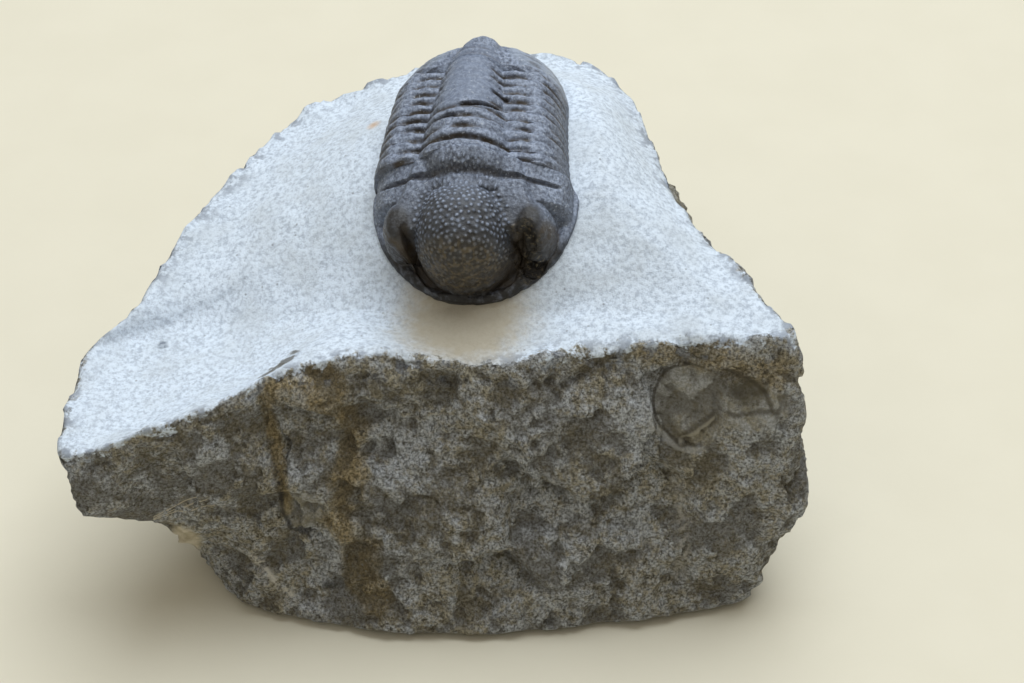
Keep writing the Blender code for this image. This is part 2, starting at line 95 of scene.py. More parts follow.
# Stations round the stone: top edge x, y, z, foot x, y, and how far the wall bulges at three heights
STATIONS = (
    (-29.6, -20.3, 19.9, -18.2, -15.6, -0.8, 1.4, 2.8),
    (-23.2, -19.9, 22.0, -16.8, -17.6, -0.4, 1.2, 1.7),
    (-18.0, -19.2, 23.6, -14.6, -19.2, 0.4, 0.4, 0.8),
    (-11.2, -16.4, 25.5, -9.2, -20.9, 0.3, 1.0, 0.9),
    (-5.6, -15.2, 26.0, -3.0, -22.2, 0.2, 0.7, 0.6),
    (0.0, -14.9, 25.5, 2.0, -22.3, 0.2, 0.7, 0.6),
    (5.6, -15.2, 25.3, 8.0, -22.0, 0.2, 0.7, 0.6),
    (13.7, -14.9, 26.3, 15.0, -21.0, 0.3, 0.8, 0.6),
    (20.1, -14.7, 27.2, 20.8, -19.8, 1.2, 1.1, 0.4),
    (28.9, -14.6, 27.4, 27.2, -17.0, 2.2, 3.2, 2.9),
    (27.3, -10.8, 28.0, 26.2, -8.0, 3.0, 3.7, 2.8),
    (22.6, -2.6, 29.0, 23.5, 0.0, 2.6, 4.2, 3.8),
    (19.7, 4.3, 29.5, 19.5, 6.0, 2.5, 3.0, 2.0),
    (17.2, 15.0, 30.0, 15.5, 13.5, 1.8, 2.6, 1.6),
    (13.0, 20.7, 30.0, 10.5, 17.0, 2.0, 2.4, 1.4),
    (4.0, 21.2, 30.0, 3.0, 18.0, 1.2, 2.2, 1.8),
    (-4.0, 19.5, 29.2, -4.0, 16.0, 2.0, 2.4, 0.8),
    (-10.9, 17.7, 27.4, -9.5, 13.5, 1.4, 2.4, 2.4),
    (-16.4, 11.4, 26.0, -14.0, 9.0, 1.2, 1.6, 1.2),
    (-20.8, 4.4, 24.8, -17.5, 3.5, 0.6, 1.2, 1.2),
    (-25.4, -4.9, 22.5, -19.5, -3.5, -0.4, 0.2, 1.4),
    (-29.0, -8.6, 20.7, -20.5, -7.5, -1.0, -1.0, 1.4),
    (-30.0, -15.6, 20.0, -20.2, -11.5, -1.0, -0.5, 1.8),
)
FRONT_STATIONS = (2, 10)
POLE = (4.0, 3.0)
ORIGIN_SHIFT = (-0.53, -0.2, 0.0)
SEAT_HALF_WIDTH = 8.9
SEAT_HALF_LENGTH = 13.6
MOAT_DEPTH = 0.7
FRONT_Y = -8.0
SPURS = (((26.2, -5.6, 26.6), 2.2, 1.9), ((-11.6, 17.6, 26.8), 1.5, 0.8))
UNDERCUT = 2.4
UNDERCUT_SHARE = 0.045
CRACK = (
    (-13.5, 23.6),
    (-13.4, 20.6),
    (-12.8, 17.5),
    (-12.5, 15.0),
    (-12.4, 11.6),
    (-11.7, 10.0),
    (-10.2, 9.5),
)

# The shell print: its disc and the hollow beside it as x, z and half axes, and the ends of its ridge
PRINT = (21.2, 21.2, 3.1, 3.5)
PRINT_HOLLOW = (26.2, 21.6, 2.7, 1.8)
PRINT_RIDGE = ((20.4, 17.9), (23.1, 20.3))

# Lines of colour on the front face, as x, z: two brown zones, a pale vein and a pale edge
BROWN_ZONE = ((-11.6, 24.6), (-8.6, 23.8), (-6.4, 18.6), (-7.6, 12.4), (-6.6, 8.4), (-4.9, 3.0))
BROWN_SLOPE = ((18.0, 26.2), (23.5, 25.6), (27.6, 24.4))
VEIN = ((-15.1, 6.5), (-13.4, 4.4), (-11.8, 2.4))
ARRIS = ((19.6, 15.6), (20.6, 11.5), (21.0, 8.0), (20.6, 4.5))

# Both ends of each fine line on the front face, as x, z: a pale line of painted highlight on the print's
# ridge, dark lines of painted shade beside that ridge and round the hollow, and scratches
PRINT_RIDGE_HIGHLIGHT = ((20.4, 18.0), (23.1, 20.3))
PRINT_SHADE_LINES = (
    ((20.7, 18.7), (22.9, 20.6)),
    ((23.6, 24.6), (25.6, 24.0)),
    ((25.6, 24.0), (27.0, 22.8)),
    ((27.0, 22.8), (27.7, 21.4)),
    ((27.6, 21.2), (24.2, 20.9)),
)
SCRATCHES = (
    ((-23.0, 11.9), (-18.0, 14.4)),
    ((-22.9, 11.8), (-18.4, 13.5)),
    ((-22.9, 11.7), (-17.9, 12.9)),
)

# Patches of the front face, as x, z and half axes, and the middle of the dark nodule
WORN_PATCH = (-20.7, 7.6, 1.3, 2.8)
CLEAN_FLAKE = (-10.7, 12.2, 1.8, 2.2)
EVEN_HOLLOW = (26.2, 21.6, 2.9, 1.9)
NODULE = (-8.9, 4.1)

# Dark flakes along the front of the top, as x, y, z and size
FLAKES = (
    (-13.1, -15.2, 23.8, 0.8),
    (-12.4, -14.4, 24.0, 0.85),
    (-11.7, -13.7, 24.2, 0.9),
    (-11.1, -12.5, 24.0, 0.55),
    (-3.5, -15.7, 24.4, 0.9),
)

# Stained places, as x, y, z; round the hollow's middle the darkening is painted shade, and under the
# head it is partly painted shade
HOLLOW_MIDDLE = (25.7, -15.4, 22.4)
GREY_SPOT = (-22.6, -7.6, 20.7)
UNDER_HEAD = (2.6, -10.2, 26.0)
RUST_SPOT = (-5.1, 8.7, 31.2)

# What only the looks have: finer meshes, and stone that rises against the plates
STONE_COLUMNS = 560
STONE_ROWS = 168
FRONT_DENSITY = 2.4
BASE_SHARE = 0.02
WALL_SHARE = 0.6
SEAT_DEPTH = -0.12
HEAD_GRID = (280, 230)
SEGMENT_GRID = (190, 30)
TAIL_GRID = (220, 130)

# Pits on the axis: the segment, both ends in x, the place along it with its slope, and the depth
AXIS_PITS = (
    (3, -2.9, -0.3, -0.85, 0.0, 0.4),
    (4, -0.5, 3.0, -0.9, 0.35, 1.0),
    (6, 1.8, 3.6, -0.5, 0.0, 0.8),
)

# Relief of the plates, and how they close
RIB_DEPTH = 0.34
PLATE_FOOT = -0.25
SMOOTHED_END = 1.5
TUBERCLE_SPACING = 0.4
TUBERCLE_HEIGHT = 0.12
TUBERCLE_RADIUS = 0.215

# The two tones of each mottled colour, as linear red, green and blue
WALL_TONES = ((0.345, 0.36, 0.378), (0.245, 0.222, 0.165))
WALL_GRAIN = ((0.37, 0.36, 0.34), (1.8, 1.82, 1.86))
BLUISH_TONES = ((0.13, 0.15, 0.19), (0.4, 0.44, 0.52))
BEIGE_TONES = ((0.48, 0.42, 0.3), (0.68, 0.62, 0.5))
TOP_TONES = ((0.455, 0.52, 0.62), (0.75, 0.845, 0.975))
SHELL_TONES = ((0.02, 0.018, 0.018), (0.054, 0.058, 0.068))
# The dust tones stand both for dust and for a painted sheen of the lamp above
DUST_AND_SHEEN_TONES = ((0.113, 0.138, 0.2), (0.378, 0.445, 0.595))
NET_TONES = ((0.03, 0.022, 0.012), (0.115, 0.087, 0.048))
BORDER_AND_SHADE_TONES = ((0.015, 0.014, 0.014), (0.1, 0.11, 0.135))
RUBBLE_AND_SHADE_TONES = ((0.011, 0.009, 0.008), (0.17, 0.14, 0.09))
PAPER_TONES = ((0.745, 0.705, 0.585), (0.76, 0.72, 0.6))

# The photo's camera, aimed between the head and the stone's middle
CAMERA_ELEVATION_DEG = 40.0
CAMERA_DISTANCE = 0.236
CAMERA_LENS = 100.0
CAMERA_TARGET = (6.6, -8.7, 22.0)

# The set, in metres: each lamp's name, place, size, watts and colour, the sky and the floor
LAMPS = (
    ("overhead", (0.07, 0.16, 0.61), 0.6, 4.2, (0.91, 0.965, 1.0)),
    ("front_fill", (-0.2, -0.4, 0.6), 0.4, 0.35, (1.0, 0.97, 0.92)),
)
LAMP_TARGET = (0.0, 0.0, 0.015)
SKY_COLOUR = (1.0, 0.93, 0.78, 1.0)
SKY_STRENGTH = 0.31
FLOOR_HALF_WIDTH = 3.0


def smooth(low, high, value):
    """0 below low, 1 above high, and a smooth step between them."""
    t = np.clip((value - low) / (high - low), 0.0, 1.0)
    return t * t * (3 - 2 * t)


def dome(value, power):
    """A rounded cap: 1 where value is 0, and 0 from where it is 1."""
    return np.clip(1 - np.abs(value) ** power, 0.0, None) ** (1 / power)


def softer_max(a, b, width):
    """The larger of two heights, with the crease rounded over a width."""
    h = np.clip(0.5 + 0.5 * (a - b) / width, 0.0, 1.0)
    return b + (a - b) * h + width * h * (1 - h)


def ridge(value, middle, half_width):
    """A round ridge of height 1 across a line."""
    return np.clip(1 - ((value - middle) / half_width) ** 2, 0.0, None)


def reach(a, b, ellipse):
    """How far out a point is on an ellipse of a middle and half axes: 1 on its edge."""
    return np.hypot((a - ellipse[0]) / ellipse[2], (b - ellipse[1]) / ellipse[3])


def lattice_noise(points, size, seed):
    """Smooth noise from -1 to 1 at many points, with lumps of about a given size."""
    side = 24
    table = np.random.RandomState(seed).uniform(-1, 1, (side, side, side))
    place = np.asarray(points) / size
    cell = np.floor(place).astype(int)
    t = place - cell
    t = t * t * (3 - 2 * t)
    total = np.zeros(len(place))
    for corner in np.ndindex(2, 2, 2):
        weight = np.prod(np.where(np.array(corner) == 1, t, 1 - t), axis=1)
        index = (cell + corner) % side
        total += weight * table[index[:, 0], index[:, 1], index[:, 2]]
    return total


def two_noises(points, coarse, fine, seed):
    """Two layers of noise, each of a strength and a size of lumps."""
    layers = ((coarse, seed), (fine, seed + 1))
    return sum(strength * lattice_noise(points, size, number) for (strength, size), number in layers)


def listed(x, s, h):
    """The points of a grid, one after the other."""
    return np.stack([x.ravel(), s.ravel(), h.ravel()], axis=1)


# The stone


def through(before, here, after, beyond, t):
    """A smooth curve from here to after, which carries on from before and towards beyond."""
    return 0.5 * (
        2 * here
        + (after - before) * t
        + (2 * before - 5 * here + 4 * after - beyond) * t**2
        + (3 * here - before - 3 * after + beyond) * t**3
    )


def round_loop(station):
    """The station values at a fractional place round the stone."""
    table = np.array(STATIONS)
    low = int(math.floor(station))
    return through(*(table[(low + i) % len(table)] for i in (-1, 0, 1, 2)), station - low)


def wall_offset(offsets, e):
    """How far the wall stands out at a share e of its height."""
    knots = (-offsets[0], 0.0, *offsets, 0.0, -offsets[-1])
    low = min(int(e * 4), 3)
    return through(*knots[low : low + 4], e * 4 - low)


def column_stations(columns):
    """Places round the stone for the mesh columns, closer on the front."""
    table = np.array(STATIONS)
    steps = np.linalg.norm(np.roll(table, -1, axis=0)[:, :2] - table[:, :2], axis=1)
    first, last = FRONT_STATIONS
    steps[first - 1 : last] *= FRONT_DENSITY
    along = np.concatenate([[0.0], np.cumsum(steps)])
    return np.interp(np.arange(columns) / columns * along[-1], along, np.arange(len(along)))


def base_line():
    """The line under the fossil's middle, as places along it and heights."""
    along, height = [0.0], [0.0]
    plates = [(HEAD_LENGTH, HEAD_PITCH_DEG)]
    plates += [(SEGMENT_PITCH, pitch) for pitch in SEGMENT_PITCH_DEG]
    plates += [(TAIL_LENGTH, TAIL_PITCH_DEG)]
    for length, pitch in plates:
        along.append(along[-1] + length * math.cos(math.radians(pitch)))
        height.append(height[-1] + length * math.sin(math.radians(pitch)))
    return along, height


BASE_ALONG, BASE_HEIGHT = base_line()


def seat_place(x, y):
    """Across and along the fossil, from the front of its head, for a point on top."""
    turn = math.radians(-YAW_DEG)
    dx, dy = x - HEAD_FRONT[0], y - HEAD_FRONT[1]
    along = dx * math.sin(turn) + dy * math.cos(turn)
    return dx * math.cos(turn) - dy * math.sin(turn) + SIDE_DRIFT * along, along


def seat_height(across, along):
    """The height of the plane that the plates rest on."""
    places = [-12.0] + BASE_ALONG + [BASE_ALONG[-1] + 12.0]
    heights = [-0.9] + BASE_HEIGHT + [BASE_HEIGHT[-1] - 3.5]
    return HEAD_FRONT[2] + np.interp(along, places, heights) - across * math.tan(math.radians(ROLL_DEG))


def seat_reach(across, along):
    """How far out a point is on the fossil's footprint: 1 on its outline."""
    return reach(across, along, (0.0, BASE_ALONG[-1] / 2, SEAT_HALF_WIDTH, SEAT_HALF_LENGTH))


def top_height(x, y, rim):
    """The height of the worked top, from the rim in to the seat under the fossil."""
    across, along = seat_place(x, y)
    out = seat_reach(across, along)
    rim_out = seat_reach(*seat_place(rim[0], rim[1]))
    inward = smooth(0.0, 1.0, (rim_out - out) / max(rim_out - 1.0, 0.05))
    moat = MOAT_DEPTH * ridge(out, 1.12, 0.3) * smooth(4.0, -1.0, along)
    sunk = SEAT_DEPTH * smooth(1.25, 1.05, out) + moat
    return rim[2] + (seat_height(across, along) - rim[2]) * inward - sunk


def facets(point, size, step, slope, sharpness):
    """Tilted flat chips: each cell is a plane of its own height and slope."""
    distances, seeds = noise.voronoi(point / size)
    total = weight = 0.0
    for distance, seed in zip(distances, seeds):
        share = math.exp(-sharpness * (distance - distances[0]))
        tilt = noise.cell_vector(seed * 9.0) - Vector((0.5,) * 3)
        plane = step * (noise.cell(seed * 7.0) - 0.5) + slope * (point / size - seed).dot(tilt)
        total += share * plane
        weight += share
    return total / weight


def wall_relief(point, e):
    """How far the broken wall stands out at a point a share e of the way up."""
    lumps = 0.9 * noise.noise(point / 9.0) + 0.45 * noise.noise(point / 4.5)
    chips = facets(point, 7.0, 1.1, 1.4, 20.0) * (1 - smooth(0.78, 0.98, e))
    grain = 0.32 * noise.noise(point / 2.2)
    relief = lumps + chips + grain
    for place, size, height in SPURS:
        relief += height * math.exp(-(((point - Vector(place)).length / size) ** 2))
    return relief


def print_relief(x, z):
    """The shell print: a sunken disc, domed inside, a hollow beside it and a ridge."""
    r = reach(x, z, PRINT)
    disc = (0.5 * max(1 - r * r, 0.0) - 0.8) * smooth(1.1, 0.93, r)
    hollow = -1.5 * ridge(reach(x, z, PRINT_HOLLOW), 0.0, 1.0)
    return disc + hollow + 0.6 * ridge(off_line(x, z, PRINT_RIDGE), 0.0, 0.7)


def line_side(x, z, line):
    """Signed distance to a line of x, z corners: positive on the right of one that goes down."""
    best = signed = np.full(np.shape(x), FAR)
    for (x0, z0), (x1, z1) in zip(line, line[1:]):
        ex, ez = x1 - x0, z1 - z0
        t = np.clip(((x - x0) * ex + (z - z0) * ez) / (ex * ex + ez * ez), 0.0, 1.0)
        off = np.hypot(x - x0 - t * ex, z - z0 - t * ez)
        signed = np.where(off < best, np.copysign(off, ex * (z - z0) - ez * (x - x0)), signed)
        best = np.minimum(best, off)
    return signed


def off_line(x, z, line):
    """Distance to a line of x, z corners on the front face."""
    return np.abs(line_side(x, z, line))


def crack_relief(x, z):
    """The step at the crack: the stone stands higher to its right, above a narrow cleft."""
    side = float(line_side(x, z, CRACK))
    step = 0.6 * math.exp(-max(side, 0.0) / 3.0) if side > 0 else 0.0
    return step - 0.9 * math.exp(-((side / 0.4) ** 2))


def stone_point(station, stage):
    """A point of the stone, which way its relief goes and how far, and how far past the rim it is."""
    rx, ry, rz, bx, by, *offsets = round_loop(station)
    out = Vector((rx + bx - 2 * POLE[0], ry + by - 2 * POLE[1], 0.0)).normalized()
    if stage <= 1:
        foot = Vector((bx, by, 0.0)) - out * UNDERCUT
        return Vector((POLE[0], POLE[1], 0.0)).lerp(foot, stage), Vector((0, 0, 0)), 0.0, -rz
    if stage <= 2:
        e = stage - 1
        stands = wall_offset(offsets, e) - UNDERCUT * max(1 - e / UNDERCUT_SHARE, 0.0) ** 2
        point = Vector((bx + (rx - bx) * e, by + (ry - by) * e, rz * e)) + out * stands
        held = smooth(0.0, 0.22, e) * (1 - 0.5 * smooth(22.0, 26.0, point.x))
        relief = wall_relief(point, e)
        if point.y < FRONT_Y and abs(point.x) < 28:
            plain = 1 - 0.8 * smooth(1.15, 0.95, reach(point.x, point.z, PRINT))
            relief = relief * plain + print_relief(point.x, point.z) + crack_relief(point.x, point.z)
        lean = smooth(0.86, 1.0, e) * 0.7
        aim = (out * (1 - lean) + Vector((0, 0, lean))).normalized()
        moved = point + aim * (relief * held * (1 - 0.55 * smooth(0.9, 1.0, e)))
        return moved, aim, smooth(0.0, 0.06, e), (e - 1) * rz
    f = stage - 2
    x, y = rx + (POLE[0] - rx) * f, ry + (POLE[1] - ry) * f
    point = Vector((x, y, top_height(x, y, (rx, ry, rz))))
    edge = 0.45 * wall_relief(Vector((rx, ry, rz)), 1.0) * (1 - smooth(0.0, 0.25, f))
    aim = (out * 0.3 + Vector((0, 0, 0.7))).normalized()
    clear = smooth(1.1, 1.5, seat_reach(*seat_place(x, y))) * smooth(0.02, 0.2, f)
    waves = 0.5 * noise.noise(point / 6.0) * clear
    past = f * math.hypot(POLE[0] - rx, POLE[1] - ry)
    return point + aim * edge + Vector((0, 0, waves)), Vector((0, 0, 1)), 1.0, past


def stage_of_row(share):
    """Which part of the stone a row makes, with fewer rows under the fossil."""
    stage = float(np.interp(share, (0.0, BASE_SHARE, WALL_SHARE, 1.0), (0.0, 1.0, 2.0, 3.0)))
    return stage if stage <= 2 else 3 - (3 - stage) ** 0.75


def stone_detail(points, past):
    """The low relief that the solid leaves out, on the wall and on the top."""
    chips = np.array([facets(Vector(p), 2.6, 0.34, 0.65, 24.0) for p in points])
    small = np.array([facets(Vector(p), 0.95, 0.2, 0.36, 20.0) for p in points])
    grain = two_noises(points, (0.12, 0.62), (0.08, 0.32), 1)
    pits = -0.35 * smooth(0.5, 0.85, lattice_noise(points, 1.4, 3))
    wall = chips + small + grain + pits
    tool = two_noises(points, (0.08, 1.6), (0.05, 0.55), 4)
    worked = smooth(-0.2, 0.9, past)
    ahead = smooth(4.0, -9.0, points[:, 1])
    broken_edge = (0.15 + 0.35 * ahead) * lattice_noise(points, 1.9, 6)
    broken_edge = broken_edge * np.exp(-((past / 1.1) ** 2))
    return wall * (1 - worked) + tool * worked + broken_edge


def stone_marks(points, past):
    """Where the front face is brown, pale, dark, even or worn, from 0 to 1."""
    x, y, z = points.T
    front = (y < FRONT_Y) & (past < 0.3)
    wander = 0.9 * lattice_noise(points, 2.2, 41)
    brown = 0.9 * smooth(2.3, 0.3, off_line(x, z, BROWN_ZONE) + 1.3 * wander)
    brown = np.maximum(brown, smooth(0.8, 0.2, off_line(x - 0.35, z, CRACK[:5])))
    brown = np.maximum(brown, 0.6 * smooth(2.6, 0.8, off_line(x, z, BROWN_SLOPE) + 0.6 * wander))
    pale = smooth(0.5, 0.15, off_line(x, z, VEIN) + 0.25 * wander)
    pale = np.maximum(pale, 0.45 * smooth(0.9, 0.2, off_line(x, z, ARRIS) + 0.4 * wander))
    patch = smooth(1.15, 0.8, reach(x, z, WORN_PATCH) + 0.12 * wander)
    # Painted shade: a dark line in the crack, on its lower part
    dark = 0.8 * smooth(0.28, 0.1, off_line(x, z, CRACK) + 0.12 * wander)
    dark = dark * smooth(18.5, 15.0, z + wander)
    nodule = np.hypot(x - NODULE[0], z - NODULE[1]) + 0.2 * lattice_noise(points, 0.5, 42)
    dark = np.maximum(dark, 0.8 * smooth(0.8, 0.3, nodule))
    smoothed = (PRINT, EVEN_HOLLOW, CLEAN_FLAKE)
    nearest = np.minimum.reduce([reach(x, z, place) for place in smoothed])
    even = smooth(1.1, 0.9, nearest)
    marks = {"brown": brown, "pale": pale, "dark": dark, "even": even, "patch": patch}
    return {key: np.where(front, share, 0.0) for key, share in marks.items()}


def make_stone():
    """The block: a ball with its rows slid on to the foot, the wall and the top."""
    mesh = bpy.data.meshes.new("stone")
    bm = bmesh.new()
    bmesh.ops.create_uvsphere(bm, u_segments=STONE_COLUMNS, v_segments=STONE_ROWS, radius=1.0)
    stations = column_stations(STONE_COLUMNS)
    places = []
    for vert in bm.verts:
        share = 1 - math.acos(max(-1.0, min(1.0, vert.co.z))) / math.pi
        turn = math.atan2(vert.co.y, vert.co.x) / (2 * math.pi) * STONE_COLUMNS
        station = stations[int(round(turn)) % STONE_COLUMNS]
        row = round(share * STONE_ROWS) / STONE_ROWS
        places.append(stone_point(station, stage_of_row(row)))
    points, aims, held, past = (np.array(values) for values in zip(*places))
    detail = stone_detail(points, past) * held
    points = points + aims * detail[:, None]
    for vert, point in zip(bm.verts, points):
        vert.co = point
    bm.to_mesh(mesh)
    bm.free()
    stone = add_piece("stone", mesh, stone_material(), "limestone_matrix")
    give(mesh, "past_rim", past)
    give(mesh, "relief", detail)
    for key, share in stone_marks(points, past).items():
        give(mesh, key, share)
    place_in_frame(stone, Matrix.Identity(4))


# The plates


def head_outline(s):
    """Half the head's width at s back from its front, rounded at the rear."""
    front = HEAD_HALF_WIDTH * dome((GENAL_S - np.minimum(s, GENAL_S)) / GENAL_S, HEAD_ROUNDNESS)
    return front - 0.9 * smooth(GENAL_S, HEAD_LENGTH + 0.6, s)


def head_reach(x, s):
    """How far out a point is on the head shield: 1 on its margin."""
    ahead = (GENAL_S - np.minimum(s, GENAL_S)) / GENAL_S
    power = HEAD_ROUNDNESS
    return (np.abs(x / HEAD_HALF_WIDTH) ** power + ahead**power) ** (1 / power)


def glabella_reach(x, s):
    """How far out a point is on the glabella: 1 on its edge."""
    length = np.where(s < GLABELLA_MIDDLE_S, GLABELLA_FRONT_REACH, GLABELLA_BACK_REACH)
    return reach(x, s, (GLABELLA_X, GLABELLA_MIDDLE_S, GLABELLA_HALF_WIDTH, length))


def eye_reach(x, s):
    """How far out a point is on the eye of its side: 1 on its edge."""
    return reach(np.abs(x), s, (EYE_X, EYE_S, EYE_HALF_WIDTH, EYE_HALF_LENGTH))


def head_height(x, s):
    """The height of the head shield: rim, cheeks, eyes, glabella and neck ring."""
    side = np.abs(x)
    out = head_reach(x, s)
    rim = 0.2 + 0.55 * np.sqrt(ridge(out, 0.935, 0.075))
    cheek = 0.6 + 4.0 * np.clip(1 - (out / CHEEK_REACH) ** 2, 0.0, None) ** 0.7
    height = softer_max(rim, np.where(out < CHEEK_REACH, cheek, 0.0), 0.25)
    height = softer_max(height, 4.8 * dome(x / 8.3, 2.5) * smooth(6.0, 7.8, s), 0.4)
    height = softer_max(height, EYE_HEIGHT * dome(eye_reach(x, s) / 1.1, 2.6), 0.4)
    middle = glabella_reach(x, s)
    height = height - 1.3 * ridge(middle, 1.06, 0.11) * smooth(0.6, 2.2, s) * smooth(5.6, 4.6, s)
    saddle = smooth(7.2, 5.2, side + 0.5 * np.maximum(s - 7.4, 0.0)) * smooth(3.9, 5.2, s)
    height = softer_max(height, SADDLE_HEIGHT * saddle, 0.6)
    height = softer_max(height, GLABELLA_HEIGHT * dome(middle, 2.4), 0.4)
    neck = (NECK_HEIGHT + 0.9 * smooth(8.5, 9.6, s)) * dome(x / 4.6, 2.2) * smooth(7.2, 8.4, s)
    height = softer_max(height, neck, 0.3)
    furrow = ridge(s, NECK_FURROW_S - 0.002 * x**2, 0.22 - 0.08 * smooth(3.6, 4.8, side))
    furrow = furrow * smooth(7.8, 6.8, side)
    return height - 0.45 * furrow - 1.1 * smooth(1.0, 0.55, reach(x, s, PIT))


def even_rows(outline, height, columns, places):
    """Grid points at even steps of each row's arc, so that steep sides get enough."""
    x = np.empty((len(places), columns + 1))
    fine = np.linspace(-1, 1, 1601)
    for i, s in enumerate(places):
        trial = outline(s) * fine
        h = height(trial, np.full_like(trial, s))
        step = np.hypot(np.diff(trial), np.diff(h)) + 1e-6
        arc = np.concatenate([[0.0], np.cumsum(step)])
        x[i] = np.interp(np.linspace(0, arc[-1], columns + 1), arc, trial)
    return x


def even_places(height, start, end, rows, x=0.0):
    """Places along the middle, at nearly even steps of its arc."""
    trial = np.linspace(start, end, 3001)
    h = height(np.full_like(trial, x), trial)
    arc = np.concatenate([[0.0], np.cumsum(np.hypot(np.diff(trial), 0.8 * np.diff(h)) + 1e-7)])
    return np.interp(np.linspace(0, arc[-1], rows), arc, trial)


def lifted(x, s, h, lift):
    """A grid's points moved out along its normals."""
    p = np.stack([x, s, h], axis=-1)
    n = np.cross(np.gradient(p, axis=1), np.gradient(p, axis=0))
    n = n / np.maximum(np.linalg.norm(n, axis=-1, keepdims=True), 1e-9)
    return x + n[..., 0] * lift, s + n[..., 1] * lift, h + n[..., 2] * lift


def spread_points(points, weights, spacing, seed):
    """A scatter over a surface in which each point keeps its own spacing."""
    order = np.random.RandomState(seed).permutation(len(points))
    cells, kept = {}, []
    for i in order:
        if weights[i] <= 0:
            continue
        gap = spacing * weights[i]
        cell = tuple((points[i] // spacing).astype(int))
        around = (tuple(np.add(cell, step) - 1) for step in np.ndindex(3, 3, 3))
        near = (cells.get(beside, ()) for beside in around)
        if all(np.linalg.norm(points[i] - points[j]) > gap for group in near for j in group):
            cells.setdefault(cell, []).append(i)
            kept.append(i)
    return kept


def beads(points, centres, radii, heights):
    """The height of round beads on a surface at many points."""
    tree = kdtree.KDTree(len(centres))
    for i, centre in enumerate(centres):
        tree.insert(Vector(centre), i)
    tree.balance()
    out = np.zeros(len(points))
    for i, point in enumerate(points):
        _, j, distance = tree.find(Vector(point))
        out[i] = heights[j] * max(0.0, 1 - (distance / radii[j]) ** 2)
    return out


def head_tubercles(x, s, h):
    """Beads over the glabella, finer towards its rear, and smaller ones elsewhere."""
    flat = listed(x, s, h)
    fx, fs, fh = flat.T
    on_glabella = smooth(1.0, 0.93, glabella_reach(fx, fs))
    size = np.where(on_glabella > 0.5, 1 - 0.25 * smooth(6.5, 9.3, fs), 0.62)
    keep = np.where(fh > 0.9, size, 0.0)
    centres = spread_points(flat, keep, TUBERCLE_SPACING, 7)
    fade = 1 - 0.5 * smooth(3.4, 1.4, fs[centres])
    where = np.where(on_glabella[centres] > 0.5, 1.0, 0.32)
    heights = TUBERCLE_HEIGHT * size[centres] * fade * where
    radii = TUBERCLE_RADIUS * size[centres] * (0.85 + 0.3 * np.random.RandomState(5).rand(len(centres)))
    return beads(flat, flat[centres], radii, heights).reshape(x.shape)


def cross_section(u, half_width, height, axis_half_width, axis_foot):
    """A slice across the thorax: arched axis, flat inner side, outer side turned down."""
    side = np.abs(u)
    axis = np.clip(side / 0.42, 0.0, 1.0)
    inner = np.clip((side - 0.42) / 0.24, 0.0, 1.0)
    outer = np.clip((side - 0.66) / 0.34, 0.0, 1.0) * math.pi / 2
    bend_x = axis_half_width + 0.42 * (half_width - axis_half_width)
    bend_h = axis_foot - 0.35
    x = axis_half_width * axis + (bend_x - axis_half_width) * inner
    x = x + (half_width - bend_x) * np.sin(outer)
    h = axis_foot + (height - axis_foot) * np.clip(1 - axis**2.2, 0.0, None)
    h = h - (axis_foot - bend_h) * inner**2 - bend_h * 0.97 * (1 - np.cos(outer))
    furrow = 0.15 * ridge(side, 0.43, 0.12)
    return np.sign(u) * x, h - furrow


def segment_measures(index):
    """Half width, height, axis half width and axis foot of a thorax segment."""
    back = (index + 0.5) / SEGMENT_COUNT
    half_width = 8.35 - 0.9 * back**0.7
    height = THORAX_HEIGHT - 0.45 * back
    return half_width, height, 3.8 - 1.4 * back, 4.95 + 0.35 * back


def segment_surface(index):
    """Points, groove depth and wear of a segment, which starts under the one before."""
    columns, rows = SEGMENT_GRID
    u, v = np.meshgrid(np.linspace(-1, 1, columns + 1), np.linspace(0, 1, rows + 1))
    x, h = cross_section(u, *segment_measures(index))
    t = -1.7 + 2.7 * v if index else -1.0 + 2.0 * v
    side = np.abs(u)
    on_axis = smooth(0.46, 0.4, side)
    along = 2 * index + t
    uneven = lattice_noise(listed(x, 0.65 * along, 0 * x), 1.3, 23).reshape(x.shape)
    worn = smooth(5.5, 9.5, along + 1.6 * uneven) * smooth(0.4, 0.2, side + 0.07 * uneven)
    strength = np.clip(0.85 + 0.75 * uneven, 0.25, 1.4) * (1 - 0.6 * ridge(side, 0.71, 0.07))
    strength = strength * (1 - 0.8 * worn)
    strength = strength * (1 - 0.75 * on_axis * smooth(0.3, -0.3, along))
    strength = strength + 0.5 * on_axis * np.exp(-(((along - 1) / 0.6) ** 2))
    wave = 0.5 - 0.5 * np.cos(math.pi * np.clip(t, -1.0, 1.0))
    rib = RIB_DEPTH * wave**1.6 * strength
    depth = rib + 0.3 * smooth(-1.05, -1.4, t)
    pit = 0 * x
    for ring, low, high, middle, slope, deep in AXIS_PITS:
        if ring == index:
            across = smooth(low, low + 0.7, x) * smooth(high, high - 0.7, x)
            pit = deep * across * ridge(t, middle + slope * (x - low), 0.42)
    h = h - (depth + pit) * smooth(1.0, 0.93, side)
    # Brown in the grooves and the axis pits: partly real staining, partly painted shade
    groove_stain_and_shade = np.maximum(smooth(0.08, 0.26, rib), smooth(0.1, 0.3, pit))
    return x, t * SEGMENT_PITCH / 2, np.maximum(h, 0.15), groove_stain_and_shade, worn


